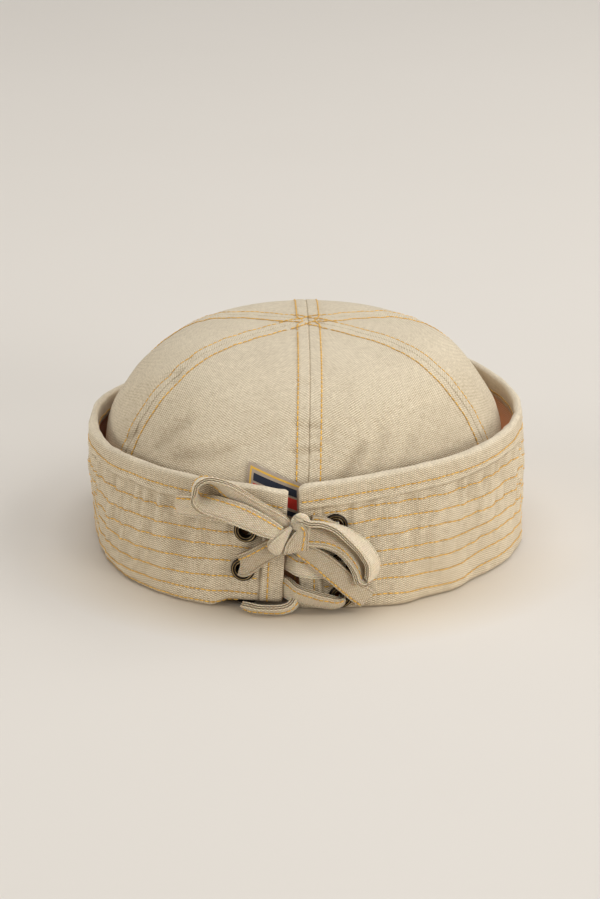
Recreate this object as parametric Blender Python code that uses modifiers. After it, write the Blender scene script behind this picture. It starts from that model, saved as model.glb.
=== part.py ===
"""A canvas sailor cap, resting on its turned-up cuff, with a lace tied in a bow at the back.

Metres, +Z up. The wearer's front is +Y, the lace is at the back, -Y. The cap stands on Z = 0 and its
middle is on the Z axis. Tables are in millimetres and degrees, and MM turns them into metres.
"""

import math

import bmesh
import bpy
import numpy as np
from mathutils import Matrix, Vector

MM = 0.001

# The cuff's outer face in plan is a rounded oval.
CUFF_HALF_WIDTH = 0.0960
CUFF_HALF_DEPTH = 0.0985
OVAL_POWER = 2.1

# The cuff's cloth: two layers of canvas, and a third where the hem is turned over.
CUFF_THICK = 0.0020
HEM_PROUD = 0.0007
HEM_WIDTH = 0.0112
HEM_STEP = 0.0006
SIDE_HEM_WIDTH = 0.0094
FOLD_RADIUS = 0.0030
FOOT_WIDTH = 0.0145
GAP = 0.0003
BASE_GAP = 0.0008

# How the cuff varies round the cap. Angles are in plan from +X, so the opening is at about -93.
# rim: height of the upper edge. rim_out, middle_out, base_out: how far the face stands out from the
# oval at the rim, half way down and at the fold. lift: how high the fold is off the table.
CUFF_COLUMNS = ("angle", "rim", "rim_out", "middle_out", "base_out", "lift")
CUFF_SHAPE = (
    (-180.0, 56.0, -0.9, -0.2, -0.4, 0.0),
    (-165.0, 55.4, 0.0, -0.2, -1.6, 0.0),
    (-150.0, 55.5, 0.3, 0.2, 0.2, 0.0),
    (-138.0, 56.4, 0.0, 0.8, 2.6, 0.0),
    (-124.0, 56.4, 0.0, 0.6, 3.8, 0.0),
    (-114.0, 56.2, 0.0, 0.2, 3.6, 0.0),
    (-109.0, 56.0, 0.0, -0.2, 1.2, 3.0),
    (-101.0, 55.4, 0.0, -0.4, 0.0, 3.0),
    (-96.0, 54.2, 0.0, -0.6, -0.6, 2.5),
    (-92.0, 56.2, 0.0, -0.5, -0.9, 0.0),
    (-85.0, 58.0, 0.0, -0.3, -0.7, 0.0),
    (-75.0, 59.8, 0.0, 0.0, 0.4, 0.0),
    (-66.0, 61.0, 0.2, 0.4, 2.6, 0.0),
    (-59.0, 61.4, 0.2, 0.3, 0.6, 0.0),
    (-51.0, 61.6, 0.2, 0.4, 1.6, 0.0),
    (-43.0, 61.6, 0.0, 0.0, -0.4, 0.0),
    (-30.0, 61.5, -0.4, 0.3, 1.2, 0.0),
    (-16.0, 60.8, -0.6, 1.0, 2.6, 0.0),
    (0.0, 59.5, -0.7, 0.8, 1.0, 0.0),
    (20.0, 59.4, -2.2, 0.0, 0.0, 0.0),
    (45.0, 60.2, -1.8, 0.0, 0.0, 0.0),
    (90.0, 58.0, 0.0, 0.0, -0.6, 0.0),
    (140.0, 50.6, -0.6, 0.0, 0.0, 0.0),
    (162.0, 53.6, -1.6, 0.0, 0.0, 0.0),
)

# The opening at the back: where the two flaps end, in X, at the rim and at the fold.
RIGHT_FLAP_EDGE_X = (-0.0032, -0.0030)
LEFT_FLAP_EDGE_X = (-0.0075, -0.0104)

# The crown: six gores over an oval that is TROUGH inside the cuff's.
TROUGH = 0.0080
CROWN_THICK = 0.0014
CROWN_SEAMS_START = -89.0
CROWN_GORES = 6
CROWN_APEX_SHIFT = (0.0010, -0.0020)
GORE_TIP_RADIUS = 0.0010
CROWN_BASE_SHIFT = (-0.0014, 0.0)
# Half width of the crown at each height, out of the width at its base.
CROWN_COLUMNS = ("height", "spread")
CROWN_PROFILE = (
    (0.0, 0.975),
    (20.0, 1.005),
    (38.0, 1.020),
    (48.0, 1.012),
    (56.0, 0.984),
    (64.0, 0.936),
    (72.0, 0.870),
    (79.0, 0.790),
    (85.0, 0.700),
    (90.0, 0.598),
    (93.4, 0.470),
    (95.4, 0.320),
    (96.5, 0.155),
    (97.0, 0.000),
)
# Above the lowest left eyelet the crown's base is pushed in, so that the fold has room for it.
BASE_DENT_ANGLE = -106.0
BASE_DENT_SPAN = 13.0
BASE_DENT_DEPTH = 0.0042
BASE_DENT_HEIGHT = 0.0300

# The eyelets. Each turned profile point is (radius, height over the cloth's face).
EYELET_BORE = 0.0028
EYELET_BARREL = 0.0032
EYELET_RADIUS = 0.0051
EYELET_BACK_RADIUS = 0.0039
EYELET_RISE = 0.0010
EYELET_SEAT = 0.0004
EYELET_STEPS = 14
CLOTH_HOLE = 0.0035
# x and height of each eyelet's middle on the cuff, in millimetres.
EYELETS = {
    "eyelet_left_top": (-25.1, 34.6),
    "eyelet_left_middle": (-26.5, 17.7),
    "eyelet_right_top": (12.1, 38.6),
    "eyelet_right_middle": (15.1, 21.4),
    "eyelet_right_bottom": (14.6, 6.3),
}
# The lowest left one is turned under the fold: its x, and how far in from the cuff's face it is.
FOLD_EYELET = "eyelet_left_bottom"
FOLD_EYELET_X = -0.0266
FOLD_EYELET_IN = 0.0064

# The woven label, sewn on the crown behind the opening.
LABEL_WIDTH = 0.0250
LABEL_HEIGHT = 0.0230
LABEL_THICK = 0.0007
LABEL_X = -0.0125
LABEL_Z = 0.0480
LABEL_TURN = -17.0

# The lace: a flat tape of the cap's own canvas.
LACE_WIDTH = 0.0088
LACE_THICK = 0.0018
LACE_SAMPLES = 3
# Each route: where the middle of the tape goes, in millimetres. x is sideways, z is up, out is how far it
# stands out from the cuff's oval. wide_x, wide_z, wide_out is the direction across the tape, and wide
# is how much of LACE_WIDTH it has there.
LACE_COLUMNS = ("x", "z", "out", "wide_x", "wide_z", "wide_out", "wide")
LACE_ROUTES = {
    "lace_loop_left": (
        (-10.8, 38.8, 8.0, 0.45, 0.90, 0.05, 0.60),
        (-18.3, 41.8, 8.8, 0.42, 0.90, 0.10, 0.95),
        (-27.3, 45.1, 9.4, 0.35, 0.93, 0.10, 1.00),
        (-35.6, 47.8, 9.5, 0.25, 0.96, 0.10, 1.00),
        (-42.7, 49.3, 8.8, 0.15, 0.98, 0.10, 1.00),
        (-46.6, 51.0, 6.5, 0.10, 0.99, 0.05, 1.00),
        (-42.8, 53.0, 4.0, 0.15, 0.98, 0.00, 1.00),
        (-35.7, 53.4, 3.5, 0.25, 0.96, -0.05, 1.00),
        (-27.4, 51.6, 3.5, 0.35, 0.93, -0.05, 1.00),
        (-17.5, 47.6, 4.0, 0.42, 0.90, -0.05, 0.90),
        (-10.8, 43.6, 4.6, 0.45, 0.90, -0.05, 0.60),
    ),
    "lace_loop_right": (
        (2.2, 41.0, 7.2, 0.00, 0.30, -0.95, 0.70),
        (8.0, 41.2, 7.6, 0.00, 0.28, -0.96, 0.85),
        (16.0, 38.4, 8.2, 0.15, 0.22, -0.96, 0.90),
        (23.1, 33.1, 8.4, 0.35, 0.12, -0.93, 0.95),
        (27.7, 27.0, 8.0, 0.50, 0.00, -0.86, 1.00),
        (28.6, 20.9, 7.4, 0.55, -0.10, -0.83, 1.00),
        (25.9, 16.8, 6.8, 0.45, 0.10, -0.88, 1.00),
        (22.2, 19.5, 6.4, 0.30, 0.40, -0.86, 1.00),
        (18.4, 25.0, 6.2, 0.20, 0.55, -0.80, 0.95),
        (14.0, 29.8, 6.2, 0.15, 0.65, -0.74, 0.90),
        (8.0, 33.2, 6.6, 0.05, 0.72, -0.68, 0.85),
        (2.6, 34.2, 7.0, 0.00, 0.75, -0.65, 0.70),
    ),
    "lace_tail_left": (
        (-10.8, 37.0, 3.2, 0.20, 0.98, 0.00, 0.55),
        (-16.5, 38.3, 3.2, 0.18, 0.98, 0.00, 0.80),
        (-24.5, 39.8, 3.0, 0.14, 0.99, 0.00, 0.95),
        (-33.8, 41.6, 2.4, 0.10, 0.99, 0.00, 1.00),
        (-44.3, 42.8, 2.4, 0.05, 1.00, 0.00, 1.00),
        (-54.0, 42.5, 2.5, 0.00, 1.00, 0.00, 1.00),
    ),
    "lace_tail_right": (
        (-1.6, 28.2, 7.0, 0.50, 0.85, 0.00, 0.65),
        (4.9, 23.6, 6.6, 0.60, 0.80, 0.00, 0.95),
        (12.0, 17.2, 5.6, 0.62, 0.78, 0.00, 1.00),
        (19.1, 10.4, 4.0, 0.62, 0.78, 0.00, 1.00),
        (25.0, 5.9, 3.0, 0.55, 0.83, 0.00, 1.00),
    ),
    "lace_lead_left": (
        (-26.5, 17.7, -0.6, -0.30, 0.95, 0.00, 0.38),
        (-26.3, 18.2, 1.4, -0.30, 0.95, 0.00, 0.42),
        (-24.6, 19.6, 2.7, -0.35, 0.93, 0.05, 0.70),
        (-20.0, 23.6, 3.2, -0.42, 0.90, 0.05, 0.95),
        (-15.0, 27.0, 3.6, -0.42, 0.90, 0.05, 0.90),
        (-9.8, 29.6, 4.2, -0.42, 0.90, 0.05, 0.62),
    ),
    "lace_lead_right": (
        (2.4, 41.8, 2.3, 0.00, 1.00, 0.00, 0.42),
        (6.5, 41.3, 2.3, 0.00, 1.00, 0.00, 0.42),
        (10.2, 39.8, 2.4, 0.00, 1.00, 0.00, 0.38),
        (12.0, 38.8, 1.2, 0.00, 1.00, 0.00, 0.36),
        (12.1, 38.6, -0.6, 0.00, 1.00, 0.00, 0.36),
    ),
    "lace_upper_cross": (
        (-24.2, 32.0, -4.9, 0.50, 0.85, 0.00, 0.60),
        (-17.5, 26.6, -5.2, 0.50, 0.85, 0.00, 0.90),
        (-10.4, 22.6, -5.4, 0.30, 0.95, 0.00, 0.95),
        (-6.2, 21.5, -1.7, 0.15, 0.99, 0.00, 0.95),
        (-2.4, 21.2, 2.5, 0.10, 0.99, 0.00, 0.95),
        (5.0, 20.2, 2.9, 0.10, 0.99, 0.00, 0.90),
        (11.0, 20.6, 3.0, 0.00, 1.00, 0.00, 0.70),
        (14.6, 21.1, 1.8, 0.00, 1.00, 0.00, 0.42),
        (15.1, 21.4, -0.6, 0.00, 1.00, 0.00, 0.38),
    ),
    "lace_lower_cross": (
        (-25.6, 15.8, -4.9, 0.30, 0.95, 0.00, 0.60),
        (-18.0, 13.2, -5.2, 0.25, 0.96, 0.00, 0.85),
        (-10.6, 11.3, -5.4, 0.20, 0.98, 0.00, 0.95),
        (-6.2, 10.2, -1.7, 0.20, 0.98, 0.00, 1.00),
        (-2.4, 9.2, 3.5, 0.22, 0.97, 0.00, 1.00),
        (4.0, 7.5, 3.0, 0.25, 0.96, 0.00, 0.95),
        (10.0, 6.2, 3.0, 0.15, 0.98, 0.00, 0.75),
        (14.1, 6.2, 1.8, 0.00, 1.00, 0.00, 0.42),
        (14.6, 6.3, -0.6, 0.00, 1.00, 0.00, 0.38),
    ),
    "lace_bottom_run": (
        (-27.6, 0.95, -6.4, 0.55, 0.00, -0.80, 0.60),
        (-23.6, 0.95, -2.4, 0.60, 0.00, -0.75, 0.90),
        (-18.6, 1.25, 1.6, 0.40, 0.03, -0.90, 0.95),
        (-12.6, 2.20, 3.4, 0.05, 0.22, -0.96, 0.95),
        (-8.2, 3.00, 3.0, -0.20, 0.40, -0.88, 0.70),
        (-5.6, 3.20, 1.0, -0.40, 0.30, -0.70, 0.42),
    ),
}
LACE_KNOT_MIDDLE = (-4.2, 36.4, 6.4)
LACE_KNOT_HALF = (0.0052, 0.0046, 0.0090)
LACE_KNOT_TURN = 8.0

COLOURS = {
    "canvas": ((0.640, 0.532, 0.376), 0.92, 0.0),
    "canvas_cuff": ((0.615, 0.502, 0.345), 0.92, 0.0),
    "lace_canvas": ((0.660, 0.552, 0.392), 0.90, 0.0),
    "antique_brass": ((0.230, 0.165, 0.085), 0.42, 1.0),
    "label_weave": ((0.330, 0.240, 0.165), 0.85, 0.0),
}


def clear_scene():
    """Removes every object, so the script can be run again."""
    for thing in list(bpy.data.objects):
        bpy.data.objects.remove(thing, do_unlink=True)


def collection(name):
    """A new collection in the scene."""
    made = bpy.data.collections.new(name)
    bpy.context.scene.collection.children.link(made)
    return made


def material(name):
    """A Principled material from COLOURS."""
    colour, roughness, metallic = COLOURS[name]
    made = bpy.data.materials.get(name) or bpy.data.materials.new(name)
    made.use_nodes = True
    shader = made.node_tree.nodes["Principled BSDF"]
    shader.inputs["Base Color"].default_value = (*colour, 1.0)
    shader.inputs["Roughness"].default_value = roughness
    shader.inputs["Metallic"].default_value = metallic
    return made


def eased(at, rows, columns, wanted, period=None):
    """A column of a table at the given places: a cubic between rows that never overshoots them."""
    places = np.array([row[0] for row in rows], float)
    values = np.array([row[columns.index(wanted)] for row in rows], float)
    if period:
        places = np.concatenate([places - period, places, places + period])
        values = np.tile(values, 3)
        at = (np.asarray(at) - places[len(rows)]) % period + places[len(rows)]
    steps = np.diff(values) / np.diff(places)
    before, after = steps[:-1], steps[1:]
    both = np.where(before * after > 0, before + after, 1.0)
    inner = np.where(before * after > 0, 2 * before * after / both, 0.0)
    slopes = np.concatenate([steps[:1], inner, steps[-1:]])
    index = np.clip(np.searchsorted(places, at, side="right") - 1, 0, len(places) - 2)
    span = places[index + 1] - places[index]
    t = (at - places[index]) / span
    start, end = values[index], values[index + 1]
    rise, fall = slopes[index] * span, slopes[index + 1] * span
    return (
        start * (2 * t**3 - 3 * t**2 + 1)
        + rise * (t**3 - 2 * t**2 + t)
        + end * (3 * t**2 - 2 * t**3)
        + fall * (t**3 - t**2)
    )


def cuff_value(angle, wanted):
    """A measure of the cuff at plan angles in degrees, in metres."""
    return MM * eased(angle, CUFF_SHAPE, CUFF_COLUMNS, wanted, period=360.0)


def oval(angle, out):
    """Plan points of the cuff's oval, moved outward by out, at polar angles in degrees."""
    turn = np.radians(angle)
    across = np.abs(np.cos(turn)) / CUFF_HALF_WIDTH
    along = np.abs(np.sin(turn)) / CUFF_HALF_DEPTH
    radius = (across**OVAL_POWER + along**OVAL_POWER) ** (-1 / OVAL_POWER) + out
    return radius * np.cos(turn), radius * np.sin(turn)


def back_angle(x):
    """The plan angle, in degrees, of a point of the back half of the oval at this x."""
    y = CUFF_HALF_DEPTH * (1 - (abs(x) / CUFF_HALF_WIDTH) ** OVAL_POWER) ** (1 / OVAL_POWER)
    return math.degrees(math.atan2(-y, x))


def cuff_out(angle, z):
    """How far the cuff's face stands out from the oval at a height: a parabola through three heights."""
    rim, lift = cuff_value(angle, "rim"), cuff_value(angle, "lift")
    t = (z - lift) / (rim - lift)
    base, middle, top = (cuff_value(angle, name) for name in ("base_out", "middle_out", "rim_out"))
    return base * (1 - t) * (1 - 2 * t) + middle * 4 * t * (1 - t) + top * t * (2 * t - 1)


def on_cuff(angle, z, out=0.0):
    """A point on the cuff's face, or off it by out."""
    x, y = oval(angle, cuff_out(angle, z) + out)
    return Vector((float(x), float(y), float(z)))


def cuff_normal(angle, z):
    """The cuff's outward direction at a point of its face."""
    across = on_cuff(angle + 0.5, z) - on_cuff(angle - 0.5, z)
    up = on_cuff(angle, z + 0.001) - on_cuff(angle, z - 0.001)
    return across.cross(up).normalized()


def grid_object(name, points, finish, home):
    """An open sheet through a grid of points, shape (rows, columns, 3)."""
    rows, columns = points.shape[:2]
    sheet = bmesh.new()
    bmesh.ops.create_grid(sheet, x_segments=columns - 1, y_segments=rows - 1, size=1.0)
    sheet.verts.ensure_lookup_table()
    order = sorted(sheet.verts, key=lambda v: (round(v.co.y, 5), round(v.co.x, 5)))
    for vertex, place in zip(order, points.reshape(-1, 3)):
        vertex.co = place
    mesh = bpy.data.meshes.new(name)
    sheet.to_mesh(mesh)
    sheet.free()
    made = bpy.data.objects.new(name, mesh)
    home.objects.link(made)
    mesh.materials.append(material(finish))
    mesh.shade_smooth()
    return made


def face_out(made, middle):
    """Turns a sheet's faces so that they point away from a point."""
    mesh = made.data
    away = sum((p.center - Vector(middle)).dot(p.normal) * p.area for p in mesh.polygons)
    if away < 0:
        mesh.flip_normals()


def solidify(made, thick, offset):
    """Gives a sheet its thickness. An offset of -1 puts all of it behind the sheet, 0 half each side."""
    wall = made.modifiers.new("wall", "SOLIDIFY")
    wall.thickness = thick
    wall.offset = offset
    wall.use_even_offset = False
    return wall


# ---- the cuff ------------------------------------------------------------------------------------


def cuff_columns():
    """Where the cuff's columns are, from 0 at the right flap's edge to 1 at the left flap's edge."""
    hem = math.degrees(SIDE_HEM_WIDTH / CUFF_HALF_DEPTH) / 355.0
    step = math.degrees(HEM_STEP / CUFF_HALF_DEPTH) / 355.0
    near_back = np.linspace(hem + step, 0.085, 9)
    beside = np.linspace(0.085, 0.160, 5)[1:]
    round_front = np.linspace(0.160, 0.840, 25)[1:-1]
    half = np.concatenate([[0.0, hem], near_back, beside])
    return np.concatenate([half, round_front, 1 - half[::-1]])


def cuff_points():
    """The cuff's outer face, from the rim down, round the fold and in under the crown."""
    share = cuff_columns()
    hem_columns = (share < share[2] - 1e-6) | (share > 1 - share[2] + 1e-6)
    right = np.array([back_angle(x) for x in RIGHT_FLAP_EDGE_X])
    left = np.array([back_angle(x) for x in LEFT_FLAP_EDGE_X]) + 360.0
    rows = []

    def ring(height_share, angle_share, out, z_of):
        """One row of points: its place between rim and fold sets where the flaps end."""
        start = right[0] + (right[1] - right[0]) * angle_share
        end = left[0] + (left[1] - left[0]) * angle_share
        angle = start + share * (end - start)
        z = z_of(angle)
        x, y = oval(angle, cuff_out(angle, z) + out)
        rows.append((np.stack([x, y, z], axis=-1), height_share))

    def down(depth):
        return lambda angle: cuff_value(angle, "rim") - depth

    def above_fold(part):
        def z_of(angle):
            top = cuff_value(angle, "rim") - HEM_WIDTH - HEM_STEP
            low = cuff_value(angle, "lift") + FOLD_RADIUS
            return low + (top - low) * part

        return z_of

    ring(1.0, 0.0, HEM_PROUD, down(0.0))
    ring(1.0, 0.1, HEM_PROUD, down(HEM_WIDTH / 2))
    ring(1.0, 0.2, HEM_PROUD, down(HEM_WIDTH))
    for part in (1.0, 0.75, 0.5, 0.25, 0.0):
        ring(0.0, 0.2 + 0.8 * (1 - part), HEM_PROUD * hem_columns, above_fold(part))
    for turn in (30.0, 60.0, 90.0):
        sink = FOLD_RADIUS * math.sin(math.radians(turn))
        back = FOLD_RADIUS * (1 - math.cos(math.radians(turn)))
        ring(0.0, 1.0, -back, lambda angle, s=sink: cuff_value(angle, "lift") + FOLD_RADIUS - s)
    ring(0.0, 1.0, -FOOT_WIDTH, lambda angle: cuff_value(angle, "lift"))
    points = np.stack([row[0] for row in rows])
    thick = np.array([row[1] for row in rows])[:, None] + 0 * share[None, :]
    wall_rows = np.arange(len(rows)) < 8
    thick[wall_rows] = np.maximum(thick[wall_rows], hem_columns[None, :])
    return points, thick


def build_cuff(home, cutters):
    """The turned-up band, open at the back, with its hems, its fold and the holes for the eyelets."""
    points, thick = cuff_points()
    cuff = grid_object("cuff", points, "canvas_cuff", home)
    face_out(cuff, (0.0, 0.0, 0.03))
    group = cuff.vertex_groups.new(name="hem")
    order = match_vertices(cuff.data, points)
    for index, weight in zip(order, thick.reshape(-1)):
        group.add([int(index)], float(weight), "REPLACE")
    wall = solidify(cuff, CUFF_THICK + HEM_PROUD, -1.0)
    wall.vertex_group = "hem"
    wall.thickness_vertex_group = CUFF_THICK / (CUFF_THICK + HEM_PROUD)
    for name, frame in eyelet_frames().items():
        bpy.ops.mesh.primitive_cylinder_add(vertices=16, radius=CLOTH_HOLE, depth=0.012)
        cutter = bpy.context.object
        cutter.name = f"hole_for_{name}"
        for other in list(cutter.users_collection):
            other.objects.unlink(cutter)
        cutters.objects.link(cutter)
        cutter.matrix_world = frame
        cutter.hide_render = True
        cutter.display_type = "WIRE"
        cut = cuff.modifiers.new(cutter.name, "BOOLEAN")
        cut.object = cutter
        cut.operation = "DIFFERENCE"
        cut.solver = "EXACT"
    return cuff


def match_vertices(mesh, points):
    """The mesh's vertex number of each grid point."""
    places = np.empty(len(mesh.vertices) * 3)
    mesh.vertices.foreach_get("co", places)
    places = places.reshape(-1, 3)
    wanted = points.reshape(-1, 3)
    return [int(np.argmin(((places - p) ** 2).sum(axis=1))) for p in wanted]


# ---- the crown -----------------------------------------------------------------------------------


def crown_middle(share):
    """The crown's middle at a share of its height, as it leans over from its base to its top."""
    lean = np.clip(share, 0, 1) ** 2
    return tuple(low + (high - low) * lean for low, high in zip(CROWN_BASE_SHIFT, CROWN_APEX_SHIFT))


def crown_base_height(angle):
    """The crown's lower edge stands on the cuff's foot."""
    return cuff_value(angle, "lift") + CUFF_THICK + BASE_GAP


def crown_points(angle, rise):
    """Points of the crown's outer face at plan angles, for rise from 0 at its base to 1 at its top."""
    top = MM * CROWN_PROFILE[-1][0]
    base = crown_base_height(angle)
    z = base + (top - base) * rise
    spread = eased(z / MM, CROWN_PROFILE, CROWN_COLUMNS, "spread")
    turn = np.radians(angle)
    across = np.abs(np.cos(turn)) / (CUFF_HALF_WIDTH - TROUGH)
    along = np.abs(np.sin(turn)) / (CUFF_HALF_DEPTH - TROUGH)
    radius = (across**OVAL_POWER + along**OVAL_POWER) ** (-1 / OVAL_POWER) * spread
    away = (angle - BASE_DENT_ANGLE + 180.0) % 360.0 - 180.0
    dent = np.clip(1 - (away / BASE_DENT_SPAN) ** 2, 0, 1) ** 2
    radius = radius - BASE_DENT_DEPTH * dent * np.clip(1 - z / BASE_DENT_HEIGHT, 0, 1)
    middle_x, middle_y = crown_middle(z / top)
    return np.stack([radius * np.cos(turn) + middle_x, radius * np.sin(turn) + middle_y, z], axis=-1)


def gore_rises():
    """Where a gore's rows are, closer together over the shoulder of the dome."""
    heights = np.array([row[0] for row in CROWN_PROFILE]) / CROWN_PROFILE[-1][0]
    kept = [0.0, 0.15, 0.33] + list(heights[4:-1])
    return np.array(kept + [0.9997])


def build_crown_panel(number, home):
    """One gore: a sheet between two seams, drawn in to the top of the dome."""
    span = 360.0 / CROWN_GORES
    start = CROWN_SEAMS_START + span * (number - 1)
    share = np.linspace(0.0, 1.0, 8)
    rows = []
    for rise in gore_rises():
        angle = start + span * share
        row = crown_points(angle, rise)
        middle = np.stack(crown_middle(row[:, 2] / (MM * CROWN_PROFILE[-1][0])), axis=-1)
        radius = np.maximum(np.linalg.norm(row[:, :2] - middle, axis=1), GORE_TIP_RADIUS)
        trim = np.degrees(GAP * 0.6 / radius)
        angle = start + trim + (span - 2 * trim) * share
        row = crown_points(angle, rise)
        away = row[:, :2] - middle
        reach = np.maximum(np.linalg.norm(away, axis=1), 1e-6)
        row[:, :2] = middle + away * (np.maximum(reach, GORE_TIP_RADIUS) / reach)[:, None]
        rows.append(row)
    panel = grid_object(f"crown_panel_{number}", np.stack(rows), "canvas", home)
    face_out(panel, (0.0, 0.0, 0.03))
    solidify(panel, CROWN_THICK, -1.0)
    return panel


# ---- the eyelets ---------------------------------------------------------------------------------


def eyelet_frames():
    """Where each eyelet stands: its matrix has the cloth's face at 0 and +Z outward."""
    frames = {}
    for name, (x, z) in EYELETS.items():
        angle = back_angle(x * MM)
        frames[name] = standing(on_cuff(angle, z * MM), cuff_normal(angle, z * MM))
    angle = back_angle(FOLD_EYELET_X)
    lift = float(cuff_value(angle, "lift"))
    edge = on_cuff(angle, lift)
    inward = Vector((-edge.x, -edge.y, 0.0)).normalized()
    frames[FOLD_EYELET] = standing(edge + inward * FOLD_EYELET_IN, Vector((0.0, 0.0, -1.0)))
    return frames


def standing(place, normal):
    """The matrix that puts +Z along a normal at a place."""
    turn = Vector(normal).to_track_quat("Z", "Y").to_matrix().to_4x4()
    return Matrix.Translation(place) @ turn


def eyelet_profile():
    """The eyelet's cut section, round its ring: flange, bore, rolled back and barrel."""
    back = -CUFF_THICK - EYELET_SEAT
    return (
        (EYELET_BARREL, EYELET_SEAT),
        (EYELET_RADIUS, EYELET_SEAT),
        (EYELET_RADIUS, EYELET_SEAT + 0.0003),
        (EYELET_RADIUS - 0.0006, EYELET_RISE),
        (EYELET_BORE + 0.0006, EYELET_RISE),
        (EYELET_BORE, EYELET_RISE - 0.0005),
        (EYELET_BORE, back - 0.0003),
        (EYELET_BORE + 0.0004, back - 0.0006),
        (EYELET_BACK_RADIUS, back - 0.0005),
        (EYELET_BACK_RADIUS, back),
        (EYELET_BARREL, back),
    )


def build_eyelet(name, frame, home):
    """A brass eyelet: its profile turned round its axis."""
    profile = eyelet_profile()
    count = len(profile)
    mesh = bpy.data.meshes.new(name)
    edges = [(i, (i + 1) % count) for i in range(count)]
    mesh.from_pydata([(r, 0.0, h) for r, h in profile], edges, [])
    made = bpy.data.objects.new(name, mesh)
    home.objects.link(made)
    mesh.materials.append(material("antique_brass"))
    turned = made.modifiers.new("turned", "SCREW")
    turned.axis = "Z"
    turned.angle = math.tau
    turned.steps = EYELET_STEPS
    turned.render_steps = EYELET_STEPS
    turned.use_merge_vertices = True
    turned.merge_threshold = 0.00001
    turned.use_normal_calculate = True
    turned.use_normal_flip = True
    made.matrix_world = frame
    return made


# ---- the label -----------------------------------------------------------------------------------


def build_label(home):
    """The woven label: a small sheet that lies on the crown, turned a little."""
    turn = math.radians(LABEL_TURN)
    across = np.linspace(-0.5, 0.5, 6) * LABEL_WIDTH
    upward = np.linspace(-0.5, 0.5, 5) * LABEL_HEIGHT
    top = MM * CROWN_PROFILE[-1][0]
    points = np.zeros((len(upward), len(across), 3))
    for i, v in enumerate(upward):
        for j, u in enumerate(across):
            x = LABEL_X + u * math.cos(turn) - v * math.sin(turn)
            z = LABEL_Z + u * math.sin(turn) + v * math.cos(turn)
            angle = np.array([back_angle(x * CUFF_HALF_WIDTH / (CUFF_HALF_WIDTH - TROUGH))])
            base = crown_base_height(angle)
            place = crown_points(angle, (z - base) / (top - base))[0]
            away = Vector((place[0], place[1], 0.0)).normalized() * (GAP + 0.0001)
            points[i, j] = place + np.array(away)
    label = grid_object("back_label", points, "label_weave", home)
    face_out(label, (0.0, 0.0, 0.03))
    solidify(label, LABEL_THICK, 1.0)
    return label


# ---- the lace ------------------------------------------------------------------------------------


def off_back(x, z, out):
    """A point near the back of the cuff: x sideways, z up, out from the oval. All in millimetres."""
    y = -CUFF_HALF_DEPTH * (1 - (abs(x * MM) / CUFF_HALF_WIDTH) ** OVAL_POWER) ** (1 / OVAL_POWER)
    return np.array([x * MM, y - out * MM, z * MM])


def smooth_path(rows, samples):
    """A Catmull-Rom curve through the rows, with samples points to each stretch."""
    rows = np.array(rows, float)
    padded = np.vstack([2 * rows[0] - rows[1], rows, 2 * rows[-1] - rows[-2]])
    found = []
    for i in range(1, len(padded) - 2):
        a, b, c, d = padded[i - 1 : i + 3]
        for t in np.arange(samples) / samples:
            found.append(
                0.5
                * (2 * b + (c - a) * t + (2 * a - 5 * b + 4 * c - d) * t**2 + (3 * b - a - 3 * c + d) * t**3)
            )
    found.append(rows[-1])
    return np.array(found)


def build_tape(name, rows, home):
    """A stretch of the lace: a flat strip carried along its route."""
    placed = [(*off_back(x, z, out), wx, -wo, wz, wide) for x, z, out, wx, wz, wo, wide in rows]
    path = smooth_path(placed, LACE_SAMPLES)
    middle, across, wide = path[:, :3], path[:, 3:6], path[:, 6:]
    along = np.gradient(middle, axis=0)
    along /= np.linalg.norm(along, axis=1, keepdims=True)
    across = across - along * (across * along).sum(axis=1, keepdims=True)
    across /= np.linalg.norm(across, axis=1, keepdims=True)
    reach = across * wide * (LACE_WIDTH / 2)
    points = np.stack([middle - reach, middle, middle + reach])
    tape = grid_object(name, points, "lace_canvas", home)
    solidify(tape, LACE_THICK, 0.0)
    return tape


def build_knot(home):
    """The lace's knot: a small rounded lump, wrapped tight."""
    lump = bmesh.new()
    bmesh.ops.create_icosphere(lump, subdivisions=2, radius=1.0)
    for vertex in lump.verts:
        x, y, z = vertex.co
        pinch = 1.0 + 0.10 * z
        vertex.co = (
            x * LACE_KNOT_HALF[0] * pinch,
            y * LACE_KNOT_HALF[1],
            z * LACE_KNOT_HALF[2],
        )
    mesh = bpy.data.meshes.new("lace_knot")
    lump.to_mesh(mesh)
    lump.free()
    mesh.shade_smooth()
    mesh.materials.append(material("lace_canvas"))
    knot = bpy.data.objects.new("lace_knot", mesh)
    home.objects.link(knot)
    knot.location = off_back(*LACE_KNOT_MIDDLE)
    knot.rotation_euler = (0.0, math.radians(LACE_KNOT_TURN), 0.0)
    return knot


def main():
    """Builds the whole cap."""
    clear_scene()
    home = collection("sailor_cap")
    cutters = collection("cutters")
    build_cuff(home, cutters)
    for number in range(1, CROWN_GORES + 1):
        build_crown_panel(number, home)
    for name, frame in eyelet_frames().items():
        build_eyelet(name, frame, home)
    build_label(home)
    for name, rows in LACE_ROUTES.items():
        build_tape(name, rows, home)
    build_knot(home)


main()
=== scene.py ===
# %% [markdown]
# # A canvas sailor cap, cell by cell
#
# The cap is a brimless dome of six canvas gores that stands in a tall turned-up cuff. The cuff is open at
# the back, where a flat lace of the same canvas runs through six brass eyelets and is tied in a bow.
#
# A measured model of the cap already exists: plain closed solids, in metres, with +Z up and the bow on the
# -Y side. This lesson loads it and works out a fine surface for each piece in the same place: every shape
# is a formula on a grid of two parameters, so one formula gives the mesh, and also the place of every
# stitch that lies on it. The formulas count in millimetres, and a mesh is made in metres.

# %% Load the measured model
import math

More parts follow.
